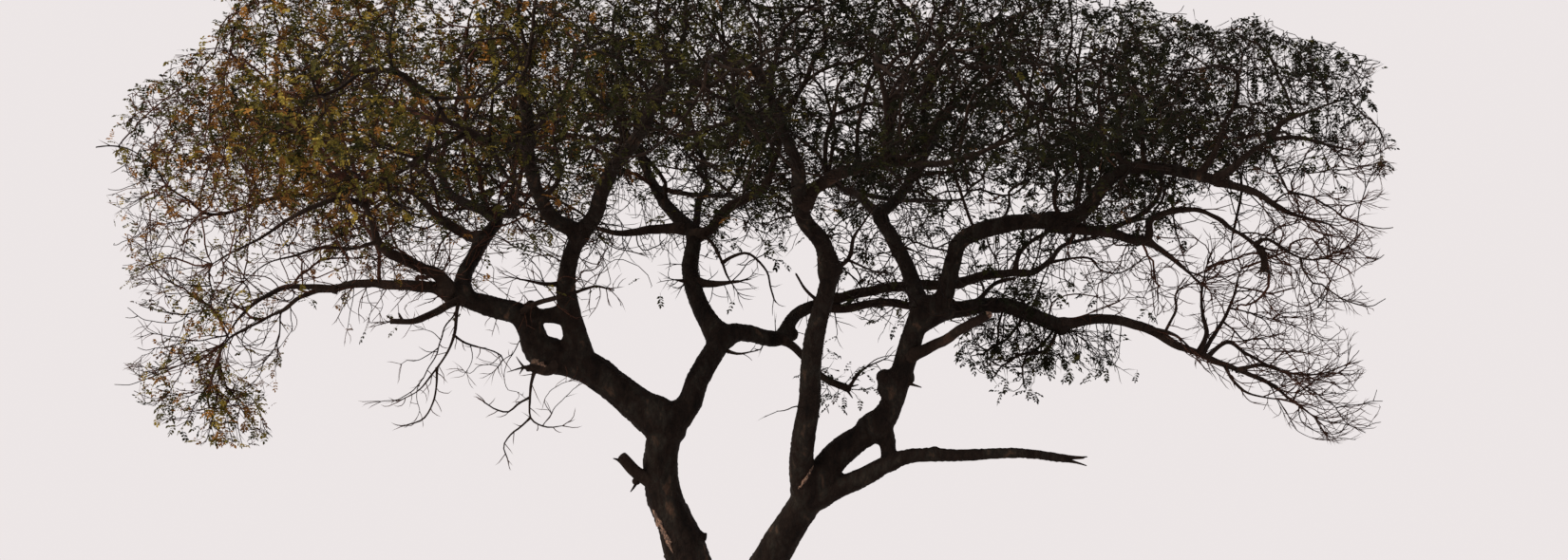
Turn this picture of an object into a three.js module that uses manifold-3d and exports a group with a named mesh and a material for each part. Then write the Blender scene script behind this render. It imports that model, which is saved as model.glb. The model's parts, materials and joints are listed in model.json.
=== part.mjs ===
// A broad, flat-crowned marula tree: a short thick trunk that forks low into two leaning
// stems, long crooked boughs, and a wide crown of separate leafy masses.
// Millimetres, +Z up, +X to the right of the front view, the front faces -Y.
// The origin is the middle of the flat cut under the trunk, at ground level.

import * as THREE from 'three';
import { mergeVertices } from 'three/addons/utils/BufferGeometryUtils.js';
import Module from 'manifold-3d';

// ---------------------------------------------------------------- driving sizes
const M = 1000;                    // one metre

const TRUNK_SIDES = 15;
const TRUNK_RINGS = 8;
const FORK_RISE = 0.46 * M;        // height of the wood that closes the fork above the bole
const TRUNK_FLARE = 0.17 * M;      // how much the foot spreads past the bole at ground level
const FLARE_HEIGHT = 0.36 * M;     // height in which the spread dies away
const BUTTRESS_COUNT = 5;          // ridges that run down into the foot
const BUTTRESS_DEPTH = 0.16;       // share of the radius, at ground level
const FORK_SLIMMING = 0.24;        // how much less deep than wide the bole is at the fork

const BOUGH_SIDES = 7;             // thick limbs
const LIMB_SIDES = 5;              // limbs thinner than THIN
const THIN = 0.12 * M;
const RING_STEP = 0.50 * M;        // spacing of the rings along a limb
const LIMB_GAP = 2.0;              // clearance where a limb meets the one it grows from
const MASS_GAP = 4;                // clearance of a mass round a limb
const CLEFT = 14;                  // half the cleft between two neighbouring masses
const BITE = 0.26 * M;             // how far an end limb runs into its mass

const CROWN = {
  halfWidth: 7.75 * M,             // along X
  halfDepth: 6.30 * M,             // along Y
  middleX: 0.18 * M,
  middleY: 0.10 * M,
};

const BARK = new THREE.Color('#4b4038');
const LEAF_DARK = new THREE.Color('#48502f');
const LEAF_WARM = new THREE.Color('#7a6a3a');
const TWIGGY = new THREE.Color('#6a5a4c');

// ---------------------------------------------------------------- limbs
// Each limb starts on its parent's axis, a share of the way along it, and runs its length in
// equal steps. Swing is the heading in the plane of the front view, in degrees from upright
// towards +X, and reach is the heading out of that plane, towards the front.
// name, parent, share, side step m, length m, [girth radii m], [swing], [reach]
const LIMBS = [
  ['trunk', null, 0.00, 0.00, 1.99, [0.553, 0.453], [0], [0]],
  ['left_stem', 'trunk', 1.00, -0.12, 2.60, [0.335, 0.262, 0.216, 0.199, 0.193], [-19, -18, -19, -22, -3, 11], [3, 3, 3, 3, 5, 2]],
  ['right_stem', 'trunk', 1.00, 0.12, 2.97, [0.320, 0.215, 0.182, 0.166, 0.133], [24, 30, 33, 34, 56], [3, 3, 10, 8, 6]],
  ['right_stem_upper', 'right_stem', 0.95, 0.00, 1.67, [0.138, 0.127], [41, 21, 17, 17, 20], [3, 9, 7, 7, 9]],
  ['left_bough', 'left_stem', 0.97, 0.00, 1.59, [0.171, 0.188], [-58, -51, -58, -75], [7, 6, 7, 6]],
  ['left_bough_knee', 'left_bough', 0.96, 0.00, 1.58, [0.149, 0.133, 0.117, 0.083], [-58, -22, -38, -77, -74, -73, -72], [5, 9, 10, 11, 9, 5, 4]],
  ['left_long_limb', 'left_bough_knee', 0.92, 0.00, 2.91, [0.072, 0.051, 0.030, 0.018], [-77, -84, -84, -82, -100, -105, -96, -112, -122, -110, -118, -119, -146], [5, 7, 9, 9, 10, 2, -7, -12, -14, -12, -2, 12, 20]],
  ['left_inner_bough', 'left_bough', 0.77, 0.00, 3.82, [0.138, 0.100, 0.077, 0.061], [-8, -13, -6, 10, 16, -61, -34, -19, -7, 1, 2, -11], [17, 24, 29, 24, 20, 29, 41, 49, 50, 49, 52, 54]],
  ['left_inner_fork_right', 'left_inner_bough', 0.40, 0.00, 2.68, [0.094, 0.061], [47, 23, 33, 49, 43, 31, 41], [36, 46, 47, 48, 51, 50, 44]],
  ['left_back_bough', 'left_bough_knee', 0.85, 0.00, 3.65, [0.099, 0.081, 0.054, 0.039], [-7, 4, 18, 17, 18, 24, 22, -54, -60, -59, -55, -40, -27, -20, -16], [-42, -46, -49, -46, -48, -50, -51, -31, -39, -45, -47, -50, -51, -46, -43]],
  ['left_back_limb', 'left_back_bough', 0.33, 0.00, 1.90, [0.066, 0.039], [-65, -50, -48, -74], [-34, -34, -34, -30]],
  ['left_front_bough', 'left_bough_knee', 0.95, 0.00, 1.85, [0.072, 0.050], [-22, -69, -72, -69, -68, -20, -17, -13, -5], [26, 31, 31, 39, 41, 54, 53, 54, 55]],
  ['middle_bough', 'left_stem', 0.97, 0.00, 1.31, [0.133, 0.125], [48, 19, 27, 29], [-7, -15, -23, -25]],
  ['middle_rise', 'middle_bough', 0.97, 0.00, 3.58, [0.116, 0.099, 0.066, 0.055], [-30, -16, 3, -38, -34, -24, -19], [-17, -23, -24, -38, -43, -44, -42]],
  ['middle_rise_right', 'middle_rise', 0.42, 0.00, 2.08, [0.066, 0.044], [68, 41, 60, 67, 35, 16, 14, 13], [22, 27, 26, 24, 35, 28, 16, 5]],
  ['middle_arm', 'middle_bough', 0.98, 0.00, 1.90, [0.105, 0.066], [58, 90, 101, 88, 34, 31, 57, 68, 68], [-29, -31, -33, -36, -34, -30, -25, -21, -14]],
  ['middle_arm_outer', 'middle_arm', 0.91, 0.00, 4.19, [0.064, 0.059, 0.035], [71, 77, 83, 86, 80, 74, 85, 81, 53, 35, 65, 65], [-16, -16, -16, -13, -11, -12, -23, -25, -39, -43, -46, -47]],
  ['right_front_bough', 'right_stem', 0.61, 0.00, 2.76, [0.138, 0.099], [-16, 5, 9, 2, 7, 15, 16], [30, 27, 20, 24, 22, 20, 19]],
  ['right_front_neck', 'right_front_bough', 0.98, 0.00, 3.16, [0.099, 0.088, 0.055, 0.044], [-17, -41, -12, -4, -29, -31, -22, -31], [32, 36, 45, 52, 49, 57, 54, 58]],
  ['right_front_right_limb', 'right_front_neck', 0.31, 0.00, 1.58, [0.077, 0.050], [51, 71, 80, 86], [29, 35, 41, 42]],
  ['right_back_bough', 'right_stem_upper', 0.94, 0.00, 3.40, [0.094, 0.084, 0.059, 0.050], [-13, -14, -17, -24, -25, -28, 48, 35, 32, 32, 24, 28, 30], [-38, -36, -33, -30, -28, -26, -33, -40, -40, -39, -42, -41, -41]],
  ['right_back_left_limb', 'right_back_bough', 0.44, 0.00, 1.88, [0.061, 0.039], [-33, -49, -25], [-48, -60, -58]],
  ['right_main_bough', 'right_stem_upper', 0.95, 0.00, 2.12, [0.105, 0.088], [69, 19, 13, 18, 60, 76, 81, 89, 96], [3, 6, 14, 16, 17, 15, 17, 17, 16]],
  ['right_main_high', 'right_main_bough', 0.96, 0.00, 2.35, [0.088, 0.055], [83, 49, 37, 57, 92, 103, 107, 113], [18, 33, 43, 37, 37, 33, 30, 27]],
  ['right_main_low', 'right_main_bough', 0.97, 0.00, 2.80, [0.072, 0.052, 0.043, 0.035], [102, 99, 90, 96, 106, 97, 10, 53, 80, 95, 120, 134, 123, 120], [0, -5, -16, -21, -23, -18, 20, 15, 11, 12, 12, 11, 11, 0]],
  ['right_low_bough', 'right_stem_upper', 0.85, 0.00, 1.96, [0.094, 0.088], [70, 76, 86, 108, 109], [-17, -19, -22, -23, -18]],
  ['right_low_outer', 'right_low_bough', 0.95, 0.00, 3.49, [0.066, 0.056, 0.039, 0.022], [78, 83, 101, 114, 111, 114, 113, 112, 123, 128], [-21, -21, -16, -15, -11, -7, -7, -8, -11, -5]],
  ['right_low_spur', 'right_stem_upper', 0.58, 0.00, 1.22, [0.066, 0.051], [61, 67, 61], [36, 35, 31]],
  ['dead_arm', 'right_stem', 0.60, 0.00, 3.12, [0.122, 0.111, 0.083, 0.066, 0.055, 0.044], [70, 65, 89, 88, 97], [17, 11, 5, 7, 6]],
  ['front_left_reach', 'left_inner_bough', 0.80, 0.00, 2.56, [0.062, 0.034], [-121, -108, -83, -34], [77, 66, 67, 73]],
  ['front_reach', 'right_front_neck', 0.74, 0.00, 2.43, [0.060, 0.034], [-132, -118, -106, -54, -5], [74, 72, 75, 82, 67]],
  ['front_right_reach', 'right_front_right_limb', 0.75, 0.00, 2.66, [0.052, 0.032], [104, 92, 81, 70, 44], [42, 44, 48, 54, 61]],
  ['back_left_reach', 'left_back_bough', 0.51, 0.00, 3.70, [0.060, 0.034], [65, 43, -52, -6, 14, -40, -25, -7], [-67, -76, -71, -75, -73, -71, -67, -62]],
  ['back_reach', 'middle_rise', 0.74, 0.00, 3.92, [0.058, 0.034], [83, 75, 71, 59, 21, 0], [-57, -64, -69, -74, -74, -63]],
  ['back_right_reach', 'right_back_left_limb', 0.56, 0.00, 3.87, [0.052, 0.034], [85, 79, 76, 75, 68, 33], [-60, -60, -59, -60, -61, -60]],
];

// ---------------------------------------------------------------- leafy masses
// The crown is a centre mass, an inner ring, an outer ring, and the skirts that hang below
// the outer ring on the left and the right. Rings are spaced evenly round the crown.
const SIX = ['right', 'back_right', 'back_left', 'left', 'front_left', 'front_right'];
const TWELVE = ['right', 'right_back', 'back_right', 'back', 'back_left', 'left_back',
  'left', 'left_front', 'front_left', 'front', 'front_right', 'right_front'];

const INNER = { share: 0.42, height: 8.46 * M, radial: 1.85 * M, along: 1.75 * M, tall: 1.34 * M };
const OUTER = { share: 0.775, height: 7.74 * M, radial: 1.68 * M, along: 1.78 * M, tall: 1.22 * M,
  backLift: 0.48 * M, rightLift: 0.08 * M, leftPull: 0.26 * M };

const masses = [];
const mass = (name, x, y, z, a, b, c, turn = 0, colour = 0) =>
  masses.push({ name, centre: new THREE.Vector3(x, y, z), a, b, c, turn, colour });

mass('mass_top_centre', CROWN.middleX, CROWN.middleY, 8.84 * M, 2.05 * M, 1.95 * M, 1.30 * M);

// each mass of a ring differs a little from the next in size, height and place
const VARY = { size: 0.11, height: 0.14 * M, turn: 0.09 };

const ring = (prefix, names, r, phase) => names.forEach((word, i) => {
  const vary = (k) => Math.sin(12.9 * (i + 1) + 7.7 * k + 3.1 * names.length);
  const side = Math.cos(phase + i * 2 * Math.PI / names.length) ** 4;   // steadier at the sides
  const th = phase + i * 2 * Math.PI / names.length + VARY.turn * vary(1) * (1 - side);
  const x = CROWN.middleX + Math.cos(th) * CROWN.halfWidth * r.share
    + (r.leftPull || 0) * Math.max(0, -Math.cos(th)) ** 3;
  const y = CROWN.middleY + Math.sin(th) * CROWN.halfDepth * r.share;
  const z = r.height + (r.backLift || 0) * Math.sin(th) + (r.rightLift || 0) * Math.cos(th)
    + VARY.height * vary(2) * (1 - side);
  mass(`mass_${prefix}_${word}`, x, y, z, r.radial * (1 + VARY.size * vary(3) * (1 - side)),
    r.along * (1 + VARY.size * vary(4)), r.tall * (1 + VARY.size * vary(5) * (1 - side)), th);
});
ring('inner', SIX, INNER, 0.12);
ring('outer', TWELVE, OUTER, 0);

// hanging parts: place m, half sizes m
mass('mass_left_skirt', -5.92 * M, -0.35 * M, 6.40 * M, 0.95 * M, 1.45 * M, 1.00 * M);
mass('mass_left_skirt_tip', -5.86 * M, -0.45 * M, 4.98 * M, 0.66 * M, 0.95 * M, 0.90 * M);
mass('mass_left_under', -4.30 * M, 0.10 * M, 6.62 * M, 1.30 * M, 1.60 * M, 0.62 * M);
mass('mass_right_skirt', 6.36 * M, 0.05 * M, 6.36 * M, 1.44 * M, 1.50 * M, 0.90 * M);
mass('mass_right_skirt_low', 6.30 * M, 0.55 * M, 5.00 * M, 1.22 * M, 1.20 * M, 0.92 * M);
mass('mass_right_hanging', 3.50 * M, 0.15 * M, 5.22 * M, 0.62 * M, 0.62 * M, 0.50 * M);

// ---------------------------------------------------------------- helpers
const wasm = await Module();
wasm.setup();

const seeded = (seed) => {
  let s = seed >>> 0;
  return () => {
    s = (s + 0x6d2b79f5) >>> 0;
    let t = Math.imul(s ^ (s >>> 15), 1 | s);
    t = (t + Math.imul(t ^ (t >>> 7), 61 | t)) ^ t;
    return ((t ^ (t >>> 14)) >>> 0) / 4294967296;
  };
};

const toSolid = (geometry) => {
  const g = geometry.clone();
  g.deleteAttribute('normal');
  g.deleteAttribute('uv');
  const m = mergeVertices(g, 1e-3);
  const solid = new wasm.Manifold(new wasm.Mesh({
    numProp: 3,
    vertProperties: Float32Array.from(m.attributes.position.array),
    triVerts: Uint32Array.from(m.index.array),
  }));
  return solid;
};

const toGeometry = (solid) => {
  const mesh = solid.getMesh();
  const g = new THREE.BufferGeometry();
  g.setAttribute('position', new THREE.BufferAttribute(Float32Array.from(mesh.vertProperties), 3));
  g.setIndex(new THREE.BufferAttribute(Uint32Array.from(mesh.triVerts), 1));
  g.computeVertexNormals();
  return g;
};

// the biggest of the pieces that a cut leaves
const biggest = (solid) => solid.decompose()
  .reduce((a, b) => (a === null || b.volume() > a.volume() ? b : a), null);

const lerpList = (list, t) => {
  const f = Math.min(0.999999, Math.max(0, t)) * (list.length - 1);
  const i = Math.floor(f);
  return list[i] + (list[i + 1] - list[i]) * (f - i);
};

const boxesMeet = (a, b) => a.min[0] < b.max[0] && b.min[0] < a.max[0] &&
  a.min[1] < b.max[1] && b.min[1] < a.max[1] && a.min[2] < b.max[2] && b.min[2] < a.max[2];

// ---------------------------------------------------------------- limb axes
const axes = {};
for (const [name, parent, share, side, length, radii, swing, reach] of LIMBS) {
  const start = new THREE.Vector3();
  if (parent) {
    const p = axes[parent].points;
    const f = Math.min(0.999999, share) * (p.length - 1);
    start.lerpVectors(p[Math.floor(f)], p[Math.floor(f) + 1], f - Math.floor(f));
    start.x += side * M;
  }
  const points = [start];
  swing.forEach((s, i) => {
    const a = THREE.MathUtils.degToRad(s);
    const b = THREE.MathUtils.degToRad(reach[i]);
    const step = length * M / swing.length;
    points.push(points[i].clone().add(new THREE.Vector3(
      Math.cos(b) * Math.sin(a) * step, -Math.sin(b) * step, Math.cos(b) * Math.cos(a) * step)));
  });
  axes[name] = { parent, points, radii: radii.map((r) => r * M), length: length * M };
}

// depth of a point inside a mass: under 1 is inside
const insideMass = (m, p) => {
  const d = p.clone().sub(m.centre).applyAxisAngle(new THREE.Vector3(0, 0, 1), -m.turn);
  return Math.hypot(d.x / m.a, d.y / m.b, d.z / m.c);
};

// an end limb, one that carries no other, stops a bite inside the first mass it meets
const carries = new Set(LIMBS.map((l) => l[1]));
const usedShare = (name) => {
  const { points, length } = axes[name];
  if (carries.has(name)) return 1;
  const curve = new THREE.CatmullRomCurve3(points, false, 'centripetal');
  for (let t = 0; t <= 1; t += 0.01) {
    const p = curve.getPointAt(t);
    if (masses.some((m) => insideMass(m, p) < 1)) return Math.min(1, t + BITE / length);
  }
  return 1;
};

// ---------------------------------------------------------------- limb solids
// A cylinder of many rings, bent along the limb's axis and tapered.
const limbSolid = (name, grow = 0, lead = 0) => {
  const { points, radii, length } = axes[name];
  const used = usedShare(name);
  const curve = points.length > 2
    ? new THREE.CatmullRomCurve3(points, false, 'centripetal')
    : new THREE.LineCurve3(points[0], points[1]);
  const rings = Math.max(2, Math.round(length * used / RING_STEP));
  const sides = radii[0] < THIN ? LIMB_SIDES : BOUGH_SIDES;
  const frames = curve.computeFrenetFrames(100, false);
  const g = new THREE.CylinderGeometry(1, 1, 1, sides, rings);
  const pos = g.attributes.position;
  const v = new THREE.Vector3();
  for (let i = 0; i < pos.count; i++) {
    v.fromBufferAttribute(pos, i);
    const t = (v.y + 0.5) * used;
    const along = v.y > 0.4999 ? lead : v.y < -0.4999 ? -lead : 0;
    const at = curve.getPointAt(Math.min(1, t));
    const k = Math.round(t * 100);
    const radius = lerpList(radii, t) + grow;
    const out = frames.normals[k].clone().multiplyScalar(v.z * radius)
      .addScaledVector(frames.binormals[k], v.x * radius)
      .addScaledVector(frames.tangents[k], along);
    at.add(out);
    pos.setXYZ(i, at.x, at.y, at.z);
  }
  return toSolid(g);
};

// The trunk: flat underneath at ground level, ridged at the foot, upright to the fork.
const trunkSolid = (grow = 0) => {
  const { points, radii } = axes.trunk;
  const height = points[1].z;
  const top = FORK_RISE;
  const g = new THREE.CylinderGeometry(1, 1, 1, TRUNK_SIDES, TRUNK_RINGS);
  const pos = g.attributes.position;
  const v = new THREE.Vector3();
  for (let i = 0; i < pos.count; i++) {
    v.fromBufferAttribute(pos, i);
    const t = Math.pow(v.y + 0.5, 1.35);           // rings closer together at the foot
    const z = t * (height + top);
    const th = Math.atan2(v.x, v.z);
    const fade = Math.exp(-z / FLARE_HEIGHT);
    const ridge = 1 + BUTTRESS_DEPTH * (0.25 + 0.75 * fade) *
      Math.cos(BUTTRESS_COUNT * th + 0.7) * 0.6 + 0.04 * Math.sin(2 * th + 1.1);
    const shoulder = z > height ? 1 - 0.46 * Math.pow((z - height) / top, 1.6) : 1;
    const hub = Math.hypot(v.x, v.z) < 1e-6 ? 0 : 1;
    const r = hub * ((radii[0] + (radii[1] - radii[0]) * Math.min(1, z / height)
      + TRUNK_FLARE * fade) * ridge * shoulder + grow);
    const deep = 1 - FORK_SLIMMING * THREE.MathUtils.smoothstep(z, 0.15 * height, height + 0.3 * top);
    pos.setXYZ(i, Math.cos(th) * r, Math.sin(th) * r * deep, z);
  }
  return toSolid(g);
};

// ---------------------------------------------------------------- mass solids
// An uneven lump: a sphere pushed in and out by a few slow waves, each mass with its own.
const massSolid = (m, index) => {
  const rnd = seeded(1207 + index * 97);
  const waves = Array.from({ length: 5 }, (_, k) => ({
    d: new THREE.Vector3(rnd() - 0.5, rnd() - 0.5, rnd() - 0.5).normalize(),
    f: 1.6 + 1.0 * k, p: rnd() * 6.283, s: 0.10 / (1 + 0.35 * k),
  }));
  const g = new THREE.SphereGeometry(1, 11, 7);
  g.rotateX(Math.PI / 2);
  const pos = g.attributes.position;
  const v = new THREE.Vector3();
  const zAxis = new THREE.Vector3(0, 0, 1);
  for (let i = 0; i < pos.count; i++) {
    v.fromBufferAttribute(pos, i).normalize();
    let r = 1;
    for (const w of waves) r += w.s * Math.sin(w.f * v.dot(w.d) * 2 + w.p);
    const under = v.z < 0 ? 0.90 : 1;
    v.set(v.x * m.a * r, v.y * m.b * r, v.z * m.c * r * under)
      .applyAxisAngle(zAxis, m.turn).add(m.centre);
    pos.setXYZ(i, v.x, v.y, v.z);
  }
  return toSolid(g);
};

// radius of a mass towards a direction
const radiusTowards = (m, dir) => {
  const d = dir.clone().applyAxisAngle(new THREE.Vector3(0, 0, 1), -m.turn);
  return 1 / Math.hypot(d.x / m.a, d.y / m.b, d.z / m.c);
};

// a big block that covers everything past a plane
const beyond = (point, normal) => {
  const size = 12 * M;
  const g = new THREE.BoxGeometry(size, size, size);
  const q = new THREE.Quaternion().setFromUnitVectors(new THREE.Vector3(0, 0, 1), normal);
  g.applyQuaternion(q);
  const c = point.clone().addScaledVector(normal, size / 2);
  g.translate(c.x, c.y, c.z);
  return toSolid(g);
};

// ---------------------------------------------------------------- build the limbs
const solids = {};
const shells = {};                                  // the same limbs, a little fatter
LIMBS.forEach(([name], i) => {
  let s = name === 'trunk' ? trunkSolid() : limbSolid(name);
  for (const [other] of LIMBS.slice(0, i)) {
    if (boxesMeet(s.boundingBox(), shells[other].boundingBox())) s = s.subtract(shells[other]);
  }
  solids[name] = biggest(s);
  shells[name] = name === 'trunk' ? trunkSolid(LIMB_GAP) : limbSolid(name, LIMB_GAP, LIMB_GAP);
});

// ---------------------------------------------------------------- build the masses
masses.forEach((m, i) => {
  let s = massSolid(m, i);
  masses.forEach((o, j) => {
    if (i === j) return;
    const dir = o.centre.clone().sub(m.centre);
    const dist = dir.length();
    dir.normalize();
    const mine = radiusTowards(m, dir);
    const theirs = radiusTowards(o, dir.clone().negate());
    if (dist > (mine + theirs) * 1.10) return;
    const split = m.centre.clone().addScaledVector(dir, dist * mine / (mine + theirs) - CLEFT);
    s = s.subtract(beyond(split, dir));
  });
  for (const [name] of LIMBS) {
    const wide = name === 'trunk' ? null : limbSolid(name, MASS_GAP, MASS_GAP);
    if (wide && boxesMeet(s.boundingBox(), wide.boundingBox())) s = s.subtract(wide);
  }
  solids[m.name] = biggest(s);
});

// ---------------------------------------------------------------- the tree
const tree = new THREE.Group();
tree.name = 'marula_tree';

const put = (name, colour, roughness) => {
  const mesh = new THREE.Mesh(toGeometry(solids[name]),
    new THREE.MeshStandardMaterial({ color: colour, roughness, metalness: 0 }));
  mesh.name = name;
  tree.add(mesh);
};

for (const [name] of LIMBS) put(name, BARK, 0.95);
for (const m of masses) {
  const t = THREE.MathUtils.clamp((-m.centre.x / CROWN.halfWidth) * 1.4, 0, 1);
  const colour = m.name.startsWith('mass_right_skirt') ? TWIGGY : LEAF_DARK.clone().lerp(LEAF_WARM, t);
  put(m.name, colour, 0.9);
}

export default tree;
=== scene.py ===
"""A broad flat-crowned marula tree: rough bark on a low-forking trunk and crooked boughs, and a
wide crown of twigs and feathered leaves that grow on from the limbs by a seeded rule."""
import json
import math

import bmesh
import bpy
import numpy as np
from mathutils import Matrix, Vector
from mathutils.bvhtree import BVHTree
from mathutils.kdtree import KDTree

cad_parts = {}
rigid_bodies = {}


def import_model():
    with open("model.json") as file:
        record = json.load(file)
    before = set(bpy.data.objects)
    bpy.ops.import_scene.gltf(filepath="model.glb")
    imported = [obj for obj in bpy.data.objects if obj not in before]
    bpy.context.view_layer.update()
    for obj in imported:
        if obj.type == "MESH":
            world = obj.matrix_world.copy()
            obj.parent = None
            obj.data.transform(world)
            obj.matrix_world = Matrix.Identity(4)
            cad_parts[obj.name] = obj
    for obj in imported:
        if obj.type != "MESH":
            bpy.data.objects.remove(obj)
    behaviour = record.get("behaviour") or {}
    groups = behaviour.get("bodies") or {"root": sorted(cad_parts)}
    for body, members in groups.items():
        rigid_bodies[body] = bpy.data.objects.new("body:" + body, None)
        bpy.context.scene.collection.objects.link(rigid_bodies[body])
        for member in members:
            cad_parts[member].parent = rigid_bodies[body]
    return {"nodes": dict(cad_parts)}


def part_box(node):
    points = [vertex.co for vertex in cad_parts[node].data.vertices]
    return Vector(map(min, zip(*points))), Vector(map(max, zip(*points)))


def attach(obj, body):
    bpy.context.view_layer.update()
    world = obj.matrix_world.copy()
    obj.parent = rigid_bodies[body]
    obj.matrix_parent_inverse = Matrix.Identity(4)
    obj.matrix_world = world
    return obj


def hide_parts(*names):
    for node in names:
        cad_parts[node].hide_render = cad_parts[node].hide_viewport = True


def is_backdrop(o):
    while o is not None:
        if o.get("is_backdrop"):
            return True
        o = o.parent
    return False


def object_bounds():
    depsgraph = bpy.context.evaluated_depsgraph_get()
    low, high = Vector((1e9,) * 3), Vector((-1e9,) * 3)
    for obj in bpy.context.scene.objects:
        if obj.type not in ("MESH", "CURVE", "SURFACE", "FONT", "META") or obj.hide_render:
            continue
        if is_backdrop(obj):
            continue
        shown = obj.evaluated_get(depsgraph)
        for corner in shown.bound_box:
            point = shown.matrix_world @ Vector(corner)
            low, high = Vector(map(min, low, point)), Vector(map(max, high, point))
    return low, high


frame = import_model()
CAD_LOW, CAD_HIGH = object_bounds()
SEED = 20417
SPAN = np.array(CAD_HIGH) - np.array(CAD_LOW)
LOW = np.array(CAD_LOW) - 0.027 * SPAN           # nothing reaches past these
HIGH = np.array(CAD_HIGH) + 0.027 * SPAN

# ------------------------------------------------------------------ the front view
PICTURE = (1651.0, 590.0)
FOCAL = 2909.0                                   # in picture units
EYE = np.array([0.70, -32.0, 1.70])
PITCH = math.radians(7.83)
AHEAD = np.array([0.0, math.cos(PITCH), math.sin(PITCH)])
ABOVE = np.array([0.0, -math.sin(PITCH), math.cos(PITCH)])


def place(u, v, y):
    """The point at depth y that shows at (u, v) in the front view."""
    d = AHEAD + np.array([1.0, 0, 0]) * (u - PICTURE[0] / 2) / FOCAL - ABOVE * (v - PICTURE[1] / 2) / FOCAL
    return EYE + d * (y - EYE[1]) / d[1]


def shows(p):
    """Where points show in the front view."""
    q = np.atleast_2d(p) - EYE
    w = q @ AHEAD
    return PICTURE[0] / 2 + FOCAL * q[:, 0] / w, PICTURE[1] / 2 - FOCAL * (q @ ABOVE) / w


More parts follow.
